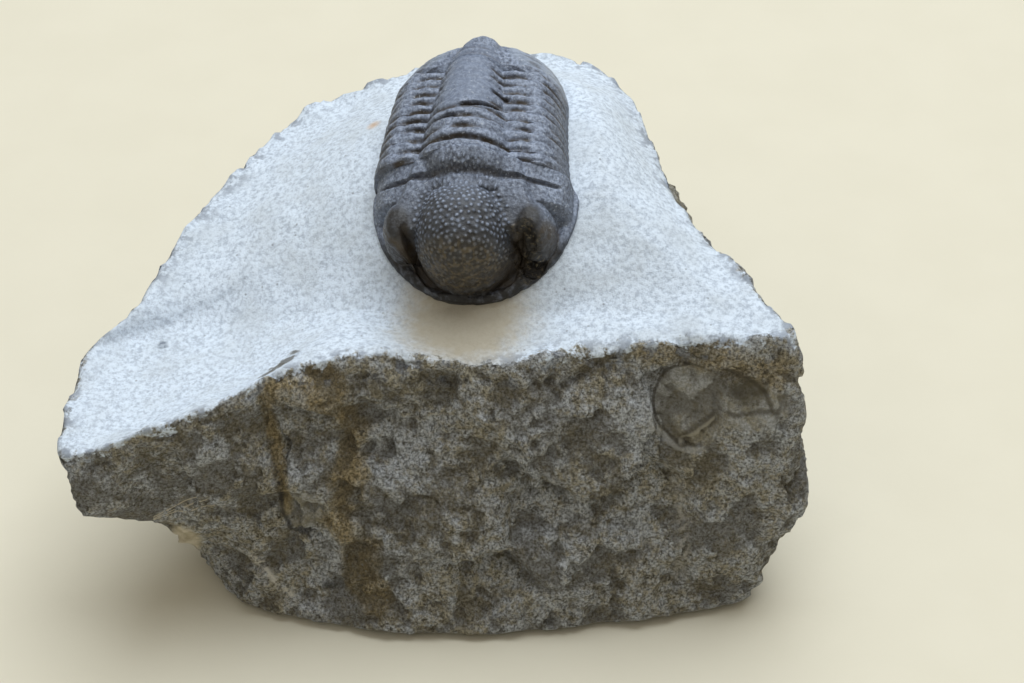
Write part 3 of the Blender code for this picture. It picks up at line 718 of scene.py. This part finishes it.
def tail_height(x, s):
    """The height of the tail shield: axis with rings, ribs and plain border."""
    side = np.abs(x)
    out = np.hypot(side / TAIL_HALF_WIDTH, s / TAIL_LENGTH)
    flank = 0.35 + 5.1 * np.clip(1 - out**3.0, 0.0, None) ** 0.55
    axis_width = 2.45 - 0.2 * s
    lean = s - 0.16 * np.maximum(side - axis_width, 0.0) ** 1.5
    ribs = 0.16 * np.cos(2 * math.pi * lean / TAIL_RIB_STEP)
    ribs = ribs * smooth(0.86, 0.66, out) * smooth(5.4, 3.0, s)
    rings = 0.14 * np.cos(2 * math.pi * s / TAIL_RING_STEP) * smooth(6.0, 4.5, s)
    fall = dome(s / 6.2, 3.0)
    crown = dome(side / axis_width, 1.9)
    axis = np.where(side < axis_width, (4.5 + 1.95 * crown) * fall + rings * crown, 0.0)
    return softer_max(flank + ribs, axis, 0.5)


def plate_matrix(along, height, pitch_deg):
    """Where a plate's own axes lie, in millimetres."""
    return (
        Matrix.Translation(HEAD_FRONT)
        @ Matrix.Rotation(math.radians(YAW_DEG), 4, "Z")
        @ Matrix.Rotation(math.radians(ROLL_DEG), 4, "Y")
        @ Matrix.Translation((-SIDE_DRIFT * along, along, height))
        @ Matrix.Rotation(math.radians(pitch_deg), 4, "X")
    )


def make_plate(name, node, grids, ends, bend, fans, matrix, material, marks):
    """A closed plate from grids of its points, leaned out at its ends and set in place."""
    x, s, h = grids
    rows, columns = x.shape
    bm = bmesh.new()
    bmesh.ops.create_grid(bm, x_segments=columns - 1, y_segments=rows - 1, size=1.0)
    knots = (ends[0], ends[0] + bend, ends[1] - bend, ends[1])
    bm.verts.ensure_lookup_table()
    corners = [(round(vert.co.y, 5), round(vert.co.x, 5)) for vert in bm.verts]
    order = sorted(range(len(corners)), key=corners.__getitem__)
    layers = {key: bm.verts.layers.float.new(key) for key in marks}
    for rank, i in enumerate(order):
        row, column = divmod(rank, columns)
        vert = bm.verts[i]
        vert.co = (x[row, column], s[row, column], h[row, column])
        for key, layer in layers.items():
            vert[layer] = float(marks[key][row, column])
    rim = [edge for edge in bm.edges if edge.is_boundary]
    drawn = bmesh.ops.extrude_edge_only(bm, edges=rim)["geom"]
    for vert in (item for item in drawn if isinstance(item, bmesh.types.BMVert)):
        vert.co.z = PLATE_FOOT
    bmesh.ops.remove_doubles(bm, verts=bm.verts, dist=0.002)
    foot = [edge for edge in bm.edges if edge.is_boundary]
    bmesh.ops.contextual_create(bm, geom=foot)
    for vert in bm.verts:
        lean = np.interp(vert.co.y, knots, (-fans[0], 0.0, 0.0, fans[1]))
        vert.co.y += float(lean) * vert.co.z
    bmesh.ops.recalc_face_normals(bm, faces=bm.faces)
    mesh = bpy.data.meshes.new(name)
    bm.to_mesh(mesh)
    bm.free()
    place_in_frame(add_piece(name, mesh, material, node), matrix)


def make_head(material, neck_fan):
    columns, rows = HEAD_GRID
    places = even_places(head_height, 0.02, HEAD_LENGTH, rows, GLABELLA_X)
    x = even_rows(head_outline, head_height, columns, places)
    s = np.repeat(places[:, None], columns + 1, axis=1)
    h = np.maximum(head_height(x, s), 0.2)
    flat = listed(x, s, h)
    bumps = head_tubercles(x, s, h)
    rough = two_noises(flat, (0.05, 0.9), (0.025, 0.3), 11).reshape(x.shape)
    coarse = two_noises(flat, (0.26, 0.6), (0.14, 0.3), 13).reshape(x.shape)
    # Spread wide, so that the rubble's dark colour also paints the hollow's shade
    broken = smooth(1.3, 0.7, reach(x, s, PIT_RUBBLE))
    border = smooth(0.84, 0.9, head_reach(x, s)) * smooth(6.5, 3.5, s)
    gaps = smooth(0.5, 0.05, bumps / TUBERCLE_HEIGHT)
    rough = rough + coarse * np.maximum(broken, 0.5 * border)
    lift = (bumps * (1 - broken) + rough) * smooth(0.2, 0.5, h)
    x, s, h = lifted(x, s, h, lift)
    middle = glabella_reach(x, s)
    side = np.abs(x)
    groove = ridge(middle, 1.08, 0.16) * smooth(0.6, 2.0, s) * smooth(5.6, 4.6, s)
    line = ridge(s, NECK_FURROW_S - 0.002 * x**2, 0.19 - 0.09 * smooth(3.6, 4.8, side))
    groove = np.maximum(groove, 0.5 * np.sqrt(line) * smooth(7.8, 6.8, side))
    low_front = smooth(4.2, 2.3, s) * smooth(1.05, 0.95, middle)
    on_eye = eye_reach(x, s)
    outer = 0.8 * (side - EYE_X) / EYE_HALF_WIDTH + 1.1 * (EYE_S - s) / EYE_HALF_LENGTH
    outer = smooth(0.3, 0.9, outer)
    lens = smooth(0.5, 0.75, on_eye) * smooth(1.25, 1.05, on_eye) * outer
    # Pale grey-blue share, part dust and part painted light: paler to the rear and on the outer cheeks
    # as painted sheen, darker at the front, between the beads and on the eyes as painted shade
    dust_and_sheen = 0.05 + 0.15 * smooth(3.0, 5.0, s) + 0.58 * smooth(5.6, 9.0, s)
    dust_and_sheen = dust_and_sheen * (1 - 0.65 * gaps * smooth(1.05, 0.9, middle) * smooth(9.0, 7.8, s))
    dust_and_sheen = dust_and_sheen + 0.85 * smooth(5.9, 7.2, side) * smooth(3.2, 5.2, s)
    dust_and_sheen = dust_and_sheen - 0.35 * smooth(0.85, 0.4, on_eye)
    dust_and_sheen = np.clip(dust_and_sheen * (1 - border) * (1 - broken), 0.0, 1.0)
    # The border's dark colour, outside the glabella and strongest at the front, is partly its own and
    # partly painted shade
    border = border * smooth(0.97, 1.05, middle) * (0.65 + 0.35 * smooth(3.2, 1.6, s))
    bead = bumps * (1 - broken) / TUBERCLE_HEIGHT
    marks = {"groove": groove, "low_front": low_front, "lens": lens, "broken": broken}
    marks |= {"bead": bead, "dust_and_sheen": dust_and_sheen, "worn": 0 * x, "border": border}
    matrix = plate_matrix(0.0, 0.0, HEAD_PITCH_DEG)
    ends, leans = (0.0, HEAD_LENGTH), (0.0, neck_fan)
    make_plate("head", "cephalon", (x, s, h), ends, SMOOTHED_END, leans, matrix, material, marks)


def make_segments(material, fans):
    for index in range(SEGMENT_COUNT):
        x, s, h, groove, worn = segment_surface(index)
        rough = two_noises(listed(x, s + index * 1.7, h), (0.06, 0.9), (0.04, 0.32), 21)
        lift = rough.reshape(x.shape) * smooth(0.15, 0.5, h) * (1 - 0.6 * worn)
        x, s, h = lifted(x, s, h, lift)
        # Each segment is evenly pale: part dust, part painted sheen
        marks = {"groove": groove, "worn": worn, "dust_and_sheen": 0.85 + 0 * x}
        middle = (BASE_ALONG[index + 1] + BASE_ALONG[index + 2]) / 2
        height = (BASE_HEIGHT[index + 1] + BASE_HEIGHT[index + 2]) / 2
        matrix = plate_matrix(middle, height, SEGMENT_PITCH_DEG[index])
        half = SEGMENT_PITCH / 2
        name = f"segment_{index + 1:02d}"
        ends, leans = (-half, half), fans[index : index + 2]
        make_plate(name, "thorax_" + name, (x, s, h), ends, half, leans, matrix, material, marks)


def make_tail(material, fans):
    columns, rows = TAIL_GRID
    places = even_places(tail_height, 0.0, TAIL_LENGTH - 0.005, rows)

    def outline(s):
        return TAIL_HALF_WIDTH * dome(s / TAIL_LENGTH, 2.0)

    x = even_rows(outline, tail_height, columns, places)
    s = np.repeat(places[:, None], columns + 1, axis=1)
    h = np.maximum(tail_height(x, s), 0.15)
    rough = two_noises(listed(x, s + 31.0, h), (0.05, 0.9), (0.03, 0.32), 31)
    lift = rough.reshape(x.shape) * smooth(0.15, 0.5, h)
    axis_width = 2.45 - 0.2 * s
    step = np.where(np.abs(x) < axis_width, TAIL_RING_STEP, TAIL_RIB_STEP)
    waves = -np.cos(2 * math.pi * s / step)
    groove = 0.5 * smooth(0.2, 1.0, waves) * smooth(6.0, 4.5, s)
    worn = smooth(1.0, 0.6, np.abs(x) / axis_width) * smooth(2.6, 1.4, s)
    # Paler on the outer flanks, as painted sheen
    flank = 0.88 + 0.42 * smooth(0.85, 1.9, np.abs(x) / axis_width) * smooth(-0.2, 2.0, s)
    x, s, h = lifted(x, s, h, lift)
    marks = {"groove": groove, "worn": worn, "dust_and_sheen": flank}
    matrix = plate_matrix(BASE_ALONG[-2], BASE_HEIGHT[-2], TAIL_PITCH_DEG)
    ends, leans = (0.0, TAIL_LENGTH), (fans[-1], 0.0)
    make_plate("tail", "pygidium", (x, s, h), ends, SMOOTHED_END, leans, matrix, material, marks)


def make_trilobite():
    """The plates on their stretches of the base line, their ends leaned out to share the bends."""
    material = fossil_material()
    pitches = (HEAD_PITCH_DEG,) + SEGMENT_PITCH_DEG + (TAIL_PITCH_DEG,)
    bends = [math.radians(before - after) for before, after in zip(pitches, pitches[1:])]
    fans = [0.0] + [math.tan(bend / 2) for bend in bends[1:]]
    make_head(material, math.tan(bends[0]))
    make_segments(material, fans)
    make_tail(material, fans)


# Pieces


def new_object(name, data):
    obj = bpy.data.objects.new(name, data)
    bpy.context.scene.collection.objects.link(obj)
    return obj


def give(mesh, name, values):
    """Writes one number for each vertex, for the materials to read."""
    mesh.attributes.new(name, "FLOAT", "POINT").data.foreach_set("value", np.asarray(values, np.float32))


def add_piece(name, mesh, material, node):
    """An object that stands for a node of the part and rides with it."""
    obj = new_object(name, mesh)
    mesh.materials.append(material)
    mesh.shade_smooth()
    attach(obj, "root")
    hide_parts(node)
    return obj


def place_in_frame(obj, matrix):
    """Sets a mesh's points in the row frame in metres, inside the part's own box."""
    mesh = obj.data
    flat = np.empty(len(mesh.vertices) * 3, np.float32)
    mesh.vertices.foreach_get("co", flat)
    points = np.c_[flat.reshape(-1, 3), np.ones(len(mesh.vertices))] @ np.array(matrix).T
    points = (points[:, :3] + ORIGIN_SHIFT) * MM
    points = np.clip(points, np.array(CAD_BOX[0]) + BOX_MARGIN, np.array(CAD_BOX[1]) - BOX_MARGIN)
    points[:, 2] = np.where(points[:, 2] < 2.5 * BOX_MARGIN, CAD_BOX[0][2], points[:, 2])
    mesh.vertices.foreach_set("co", points.astype(np.float32).ravel())
    mesh.update()


# Materials


class Nodes:
    """Builds the node tree of one material, in millimetre coordinates."""

    def __init__(self, name, roughness, specular):
        self.material = bpy.data.materials.new(name)
        self.material.use_nodes = True
        self.tree = self.material.node_tree
        self.shader = self.tree.nodes["Principled BSDF"]
        self.shader.inputs["Specular IOR Level"].default_value = specular
        self.shader.inputs["Roughness"].default_value = roughness
        coords = self.add("ShaderNodeTexCoord").outputs["Object"]
        self.place = self.vector("SCALE", coords, scale=1 / MM)
        self.normal = self.split(self.add("ShaderNodeNewGeometry").outputs["Normal"])

    def add(self, kind, **settings):
        node = self.tree.nodes.new(kind)
        for key, value in settings.items():
            setattr(node, key, value)
        return node

    def put(self, socket, value):
        if isinstance(value, bpy.types.NodeSocket):
            self.tree.links.new(value, socket)
        elif isinstance(value, tuple) and len(value) == 3 and socket.type == "RGBA":
            socket.default_value = (*value, 1.0)
        else:
            socket.default_value = value

    def split(self, vector):
        node = self.add("ShaderNodeSeparateXYZ")
        self.put(node.inputs[0], vector)
        return node.outputs

    def fed(self, kind, inputs, output=0, **settings):
        """Adds a node, sets or links its inputs, and gives one of its outputs."""
        node = self.add(kind, **settings)
        for key, value in inputs.items():
            self.put(node.inputs[key], value)
        return node.outputs[output]

    def vector(self, operation, *values, scale=None):
        inputs = dict(enumerate(values))
        if scale is not None:
            inputs["Scale"] = scale
        output = "Value" if operation in ("DISTANCE", "LENGTH", "DOT_PRODUCT") else "Vector"
        return self.fed("ShaderNodeVectorMath", inputs, output, operation=operation)

    def math(self, operation, a, b=0.0, clamp=False):
        return self.fed("ShaderNodeMath", {0: a, 1: b}, operation=operation, use_clamp=clamp)

    def times(self, value, *factors):
        for factor in factors:
            value = self.math("MULTIPLY", value, factor)
        return value

    def plus(self, a, b, clamp=False):
        return self.math("ADD", a, b, clamp)

    def noise(self, size, detail=2.0, roughness=0.5):
        inputs = {"Vector": self.place, "Scale": 1 / size, "Detail": detail, "Roughness": roughness}
        return self.fed("ShaderNodeTexNoise", inputs, "Fac")

    def cells(self, size, feature="F1"):
        inputs = {"Vector": self.place, "Scale": 1 / size}
        return self.fed("ShaderNodeTexVoronoi", inputs, "Distance", feature=feature)

    def mark(self, name):
        return self.add("ShaderNodeAttribute", attribute_name=name).outputs["Fac"]

    def off_place(self, place):
        """Distance in millimetres to a place given in part.py's axes."""
        return self.vector("DISTANCE", self.place, row_point(*place))

    def off_line(self, start, end):
        """Distance in millimetres to a line between two x, z places of the front face."""
        near = self.vector("SUBTRACT", self.place, row_point(start[0], 0.0, start[1]))
        near = self.vector("MULTIPLY", near, (1, 0, 1))
        run = Vector((end[0] - start[0], 0.0, end[1] - start[1]))
        along = self.vector("DOT_PRODUCT", near, run / run.length_squared)
        share = self.plus(along, 0.0, True)
        return self.vector("DISTANCE", near, self.vector("SCALE", tuple(run), scale=share))

    def step(self, value, low, high, start=0.0, end=1.0):
        inputs = dict(enumerate((value, low, high, start, end)))
        return self.fed("ShaderNodeMapRange", inputs, interpolation_type="SMOOTHSTEP")

    def mix(self, share, a, b, blend="MIX"):
        inputs = {0: share, 6: a, 7: b}
        return self.fed("ShaderNodeMix", inputs, 2, data_type="RGBA", blend_type=blend)

    def bump(self, height, distance, before=None):
        inputs = {"Height": height, "Distance": distance * MM, "Strength": 1.0}
        if before is not None:
            inputs["Normal"] = before
        return self.fed("ShaderNodeBump", inputs)

    def finish(self, colour, normal):
        self.put(self.shader.inputs["Base Color"], colour)
        self.put(self.shader.inputs["Normal"], normal)
        return self.material


def row_point(x, y, z):
    """A point in part.py's axes, in the row frame's millimetres."""
    return (x + ORIGIN_SHIFT[0], y + ORIGIN_SHIFT[1], z)


def wall_colour(n, grain, even, past, front):
    """Mottled grey and brown limestone, with a pale vein, scratches and a worn patch."""
    brown = n.mark("brown")
    patches = n.plus(n.noise(6.0, 3.0, 0.55), n.times(brown, 0.22))
    mottle = n.plus(n.noise(0.8, 5.0, 0.72), n.times(patches, 0.55))
    wall = n.mix(n.step(mottle, 0.66, 0.94), *WALL_TONES)
    lively = n.step(even, 0.0, 1.0, 1.0, 0.7)
    shade = n.mix(n.step(grain, 0.34, 0.68), *WALL_GRAIN)
    wall = n.mix(lively, wall, n.mix(1.0, wall, shade, "MULTIPLY"))
    wall = n.mix(n.times(even, 0.4), wall, (0.24, 0.225, 0.175))
    browned = n.mix(1.0, wall, (0.95, 0.81, 0.57), "MULTIPLY")
    wall = n.mix(n.step(brown, 0.1, 1.0, 0.0, 0.9), wall, browned)
    light = n.step(n.noise(0.5, 4.0, 0.7), 0.58, 0.68)
    light = n.times(light, n.step(n.noise(2.5, 2.0), 0.42, 0.62))
    wall = n.mix(n.times(light, lively, 0.55), wall, (0.42, 0.44, 0.46))
    specks = n.times(n.step(n.cells(1.3), 0.09, 0.05), n.step(n.noise(3.0, 2.0), 0.4, 0.55))
    wall = n.mix(n.times(specks, 0.7), wall, (0.6, 0.62, 0.62))
    pits = n.times(n.step(n.noise(0.6, 3.0, 0.65), 0.41, 0.34), 0.75)
    wall = n.mix(n.times(pits, lively), wall, (0.05, 0.043, 0.03))
    # Painted shade: darker where the fine relief sinks in
    wall = n.mix(n.step(n.mark("relief"), -0.1, -0.55, 0.0, 0.6), wall, (0.07, 0.06, 0.042))
    blue = n.times(n.step(past, -3.2, -0.8), n.step(n.noise(1.7, 4.0, 0.6), 0.54, 0.64))
    bluish = n.mix(n.step(grain, 0.35, 0.7), *BLUISH_TONES)
    wall = n.mix(n.times(blue, 0.6), wall, bluish)
    chalky = n.times(n.mark("pale"), n.step(n.noise(0.55, 4.0, 0.7), 0.44, 0.56))
    wall = n.mix(chalky, wall, (0.62, 0.6, 0.54))
    broken = n.times(front, n.step(n.noise(0.8, 2.0), 0.4, 0.5))
    for scratch in SCRATCHES:
        drawn = n.times(n.step(n.off_line(*scratch), 0.07, 0.03), broken)
        wall = n.mix(n.times(drawn, 0.75), wall, (0.62, 0.56, 0.44))
    beige = n.mix(n.step(n.noise(1.2, 3.0), 0.35, 0.65), *BEIGE_TONES)
    return n.mix(n.mark("patch"), wall, beige)


def print_colour(n, wall, front):
    """The wall with the shell print on it: rim, hollow, ridge and fine lines, with light and shade
    painted on: a dark line on the rim's left, a pale lip below, a darker hollow, dark lines and a pale
    ridge.
    """
    on_print = n.vector("SUBTRACT", n.place, row_point(PRINT[0], 0.0, PRINT[1]))
    on_print = n.vector("MULTIPLY", on_print, (1 / PRINT[2], 0.0, 1 / PRINT[3]))
    radius = n.vector("LENGTH", on_print)
    left = n.times(n.step(n.split(on_print)["X"], 0.6, 0.1), front)
    below = n.times(n.step(n.split(on_print)["Z"], 0.2, -0.3), left)
    # Painted shade and highlight: a dark line on the left of the rim, and a pale lip at its lower left
    line = n.step(n.math("ABSOLUTE", n.math("SUBTRACT", radius, 1.0)), 0.06, 0.02)
    lip = n.step(n.math("ABSOLUTE", n.math("SUBTRACT", radius, 1.1)), 0.1, 0.02)
    wall = n.mix(n.times(line, left, 0.65), wall, (0.05, 0.042, 0.03))
    # Painted shade: the hollow beside the print darker towards its middle
    wall = n.mix(n.step(n.off_place(HOLLOW_MIDDLE), 2.1, 1.0, 0.0, 0.5), wall, (0.085, 0.074, 0.048))
    # Painted shade: dark lines beside the ridge and round the hollow
    thin = n.times(n.noise(0.5, 2.0), 0.12)
    for drawn in PRINT_SHADE_LINES:
        near = n.plus(n.off_line(*drawn), thin)
        painted_shade_line = n.times(n.step(near, 0.42, 0.1, 0.0, 0.7), front)
        wall = n.mix(painted_shade_line, wall, (0.065, 0.055, 0.038))
    # Painted highlight: a pale line along the ridge
    near = n.plus(n.off_line(*PRINT_RIDGE_HIGHLIGHT), thin)
    wall = n.mix(n.times(n.step(near, 0.34, 0.1, 0.0, 0.6), front), wall, (0.36, 0.34, 0.28))
    # Painted highlight: the pale lip at the rim's lower left
    return n.mix(n.times(lip, below, 0.55), wall, (0.42, 0.42, 0.4))


def top_colour(n, fine, past):
    """The pale worked top, with dots, flakes, a grey spot, a rust spot and brown staining under the head
    that is partly painted shade.
    """
    top = n.mix(n.step(fine, 0.34, 0.6), *TOP_TONES)
    cloud = n.noise(4.0, 4.0, 0.55)
    top = n.mix(n.step(cloud, 0.42, 0.7, 0.0, 0.4), top, (0.54, 0.59, 0.64))
    bruise = n.times(n.step(n.noise(1.3, 4.0, 0.6), 0.5, 0.6), n.step(past, 2.6, 0.2, 0.0, 0.75))
    top = n.mix(bruise, top, (0.25, 0.28, 0.34))
    dots = n.times(n.step(n.cells(1.1), 0.12, 0.07), n.step(n.noise(1.6, 2.0), 0.5, 0.6))
    top = n.mix(n.times(dots, 0.7), top, (0.24, 0.26, 0.3))
    wobble = n.times(n.noise(0.5, 4.0, 0.78), 2.2)
    for *place, size in FLAKES:
        off = n.plus(n.off_place(place), wobble)
        top = n.mix(n.step(off, size + 1.1, size + 0.8, 0.0, 0.85), top, (0.12, 0.115, 0.1))
    spot = n.step(n.off_place(GREY_SPOT), 0.62, 0.3)
    spot = n.times(spot, n.step(fine, 0.35, 0.6, 0.95, 0.45))
    top = n.mix(spot, top, (0.16, 0.19, 0.24))
    # Brown under the head: partly staining, partly painted shade
    under_head_stain_and_shade = n.plus(n.off_place(UNDER_HEAD), n.times(n.noise(1.0, 4.0, 0.65), 3.4))
    under_head_stain_and_shade = n.step(under_head_stain_and_shade, 9.2, 4.6)
    top = n.mix(n.times(under_head_stain_and_shade, 0.9), top, (0.47, 0.415, 0.31))
    rust = n.step(n.off_place(RUST_SPOT), 0.95, 0.2)
    return n.mix(n.times(rust, 0.75), top, (0.6, 0.36, 0.17))


def stone_material():
    """Limestone, dark on the broken walls and pale on top, with a ragged rim."""
    n = Nodes("limestone", 0.88, 0.3)
    past, even, y = n.mark("past_rim"), n.mark("even"), n.split(n.place)["Y"]
    grain, fine = n.noise(0.24, 4.0, 0.75), n.noise(0.42, 5.0, 0.75)
    behind = n.step(y, -9.0, 3.0)
    spread = n.step(behind, 0.0, 1.0, 7.5, 3.5)
    ragged = n.times(n.math("SUBTRACT", n.noise(1.1, 6.0, 0.72), 0.5), spread)
    ragged = n.plus(ragged, n.times(behind, 0.5))
    worked = n.step(n.plus(past, ragged), -0.3, 0.45)
    front = n.step(y, FRONT_Y, FRONT_Y - 2.0)
    wall = print_colour(n, wall_colour(n, grain, even, past, front), front)
    # Dark: painted shade in the crack, and the nodule's own dark colour
    wall = n.mix(n.mark("dark"), wall, (0.03, 0.03, 0.032))
    colour = n.mix(worked, wall, top_colour(n, fine, past))
    rough_wall = n.bump(grain, 0.2)
    rough_wall = n.bump(n.noise(0.2, 4.0, 0.7), 0.1, rough_wall)
    rough_wall = n.mix(n.times(even, 0.4), rough_wall, n.bump(grain, 0.05))
    return n.finish(colour, n.mix(worked, rough_wall, n.bump(fine, 0.11)))


def fossil_material():
    """Calcite shell, brown in its hollows and greyed by dust, most of all at the rear; the grey is
    partly a painted sheen on faces turned up, and the brown hollows, dark border and broken hollow are
    partly painted shade.
    """
    n = Nodes("fossil_shell", 0.5, 0.5)
    groove, low, lens, worn, bead, dust_and_sheen, broken, border = (
        n.mark(key)
        for key in ("groove", "low_front", "lens", "worn", "bead", "dust_and_sheen", "broken", "border")
    )
    # Painted sheen: faces turned up and bead tops take more of the pale grey-blue
    up = n.step(n.normal["Z"], 0.1, 0.95)
    fine = n.noise(0.3, 4.0, 0.7)
    body = n.mix(n.step(n.noise(0.9, 5.0, 0.65), 0.38, 0.62), *SHELL_TONES)
    dust = n.mix(n.step(fine, 0.34, 0.68), *DUST_AND_SHEEN_TONES)
    share = n.times(dust_and_sheen, n.step(up, 0.0, 1.0, 0.45, 1.0))
    share = n.plus(share, n.times(n.step(bead, 0.4, 0.95), 0.6), True)
    colour = n.mix(share, body, dust)
    # Painted sheen: the palest grey-blue where the share passes 0.95, on the outer flanks of the tail
    # and cheeks
    colour = n.mix(n.step(dust_and_sheen, 0.95, 1.25, 0.0, 0.75), colour, (0.34, 0.395, 0.495))
    colour = n.mix(n.times(worn, 0.5), colour, (0.172, 0.212, 0.305))
    wander = n.times(n.noise(0.5, 3.0, 0.6), 0.9)
    veins = n.step(n.plus(n.cells(1.0, "DISTANCE_TO_EDGE"), wander), 0.62, 0.4)
    net = n.mix(veins, *NET_TONES)
    colour = n.mix(n.times(low, n.step(n.noise(1.1, 3.0), 0.35, 0.5, 0.35, 0.9)), colour, net)
    tips = n.times(low, n.step(bead, 0.2, 0.9, 0.0, 0.6))
    colour = n.mix(tips, colour, (0.17, 0.165, 0.15))
    colour = n.mix(n.times(lens, 0.9), colour, (0.072, 0.052, 0.031))
    # Dark border, partly painted shade towards the front
    edge = n.mix(n.step(n.noise(0.7, 4.0, 0.65), 0.48, 0.66), *BORDER_AND_SHADE_TONES)
    colour = n.mix(border, colour, edge)
    # Dark rubble, partly painted shade in the hollow
    crumbs = n.noise(0.4, 4.0, 0.7)
    rubble = n.mix(n.step(crumbs, 0.52, 0.66), *RUBBLE_AND_SHADE_TONES)
    colour = n.mix(broken, colour, rubble)
    # Brown in the grooves and furrows: partly real staining, partly painted shade
    groove_stain_and_shade = n.times(groove, n.step(n.noise(1.0, 3.0, 0.6), 0.32, 0.6, 0.3, 0.95))
    colour = n.mix(groove_stain_and_shade, colour, (0.05, 0.036, 0.022))
    motes = n.times(n.step(n.noise(0.22, 2.0), 0.64, 0.7), n.times(dust_and_sheen, 0.6))
    colour = n.mix(motes, colour, (0.55, 0.6, 0.68))
    normal = n.bump(fine, 0.07)
    normal = n.bump(n.noise(0.12, 2.0), 0.03, normal)
    n.put(n.shader.inputs["Roughness"], n.step(lens, 0.0, 1.0, 0.5, 0.3))
    return n.finish(colour, normal)


def floor_material():
    n = Nodes("cream_paper", 0.7, 0.2)
    tone = n.noise(9.0, 3.0)
    colour = n.mix(n.step(tone, 0.3, 0.7), *PAPER_TONES)
    return n.finish(colour, n.bump(n.noise(0.5, 2.0), 0.01))


# The set


def make_floor():
    mesh = bpy.data.meshes.new("floor")
    bm = bmesh.new()
    bmesh.ops.create_grid(bm, x_segments=1, y_segments=1, size=FLOOR_HALF_WIDTH)
    bm.to_mesh(mesh)
    bm.free()
    mesh.materials.append(floor_material())
    new_object("floor", mesh)


def aim_at(obj, target):
    obj.rotation_euler = (Vector(target) - obj.location).to_track_quat("-Z", "Y").to_euler()


def add_light(name, location, size, watts, colour):
    light = bpy.data.lights.new(name, "AREA")
    light.energy = watts
    light.size = size
    light.color = colour
    obj = new_object(name, light)
    obj.location = location
    aim_at(obj, LAMP_TARGET)


def make_set():
    """The floor, a broad lamp above and behind, a weak one in front, and the sky."""
    make_floor()
    for lamp in LAMPS:
        add_light(*lamp)
    world = bpy.data.worlds.new("studio")
    world.use_nodes = True
    background = world.node_tree.nodes["Background"]
    background.inputs["Color"].default_value = SKY_COLOUR
    background.inputs["Strength"].default_value = SKY_STRENGTH
    bpy.context.scene.world = world
    bpy.context.scene.view_settings.view_transform = "Standard"


def make_camera():
    """The photo's view, from in front of the head and above it."""
    camera = new_object("camera", bpy.data.cameras.new("camera"))
    camera.data.lens = CAMERA_LENS
    camera.data.clip_start = 0.01
    tilt = math.radians(CAMERA_ELEVATION_DEG)
    target = Vector([(a + b) * MM for a, b in zip(CAMERA_TARGET, ORIGIN_SHIFT)])
    camera.location = target + Vector((0.0, -math.cos(tilt), math.sin(tilt))) * CAMERA_DISTANCE
    aim_at(camera, target)
    bpy.context.scene.camera = camera


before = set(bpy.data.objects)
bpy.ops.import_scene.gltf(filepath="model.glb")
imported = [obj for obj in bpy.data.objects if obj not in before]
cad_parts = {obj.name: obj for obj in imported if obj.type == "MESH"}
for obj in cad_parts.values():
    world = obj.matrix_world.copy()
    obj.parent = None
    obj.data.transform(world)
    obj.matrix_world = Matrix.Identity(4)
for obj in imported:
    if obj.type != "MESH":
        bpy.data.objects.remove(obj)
CAD_BOX = [list(corner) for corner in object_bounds()]
make_camera()
make_set()
make_stone()
make_trilobite()
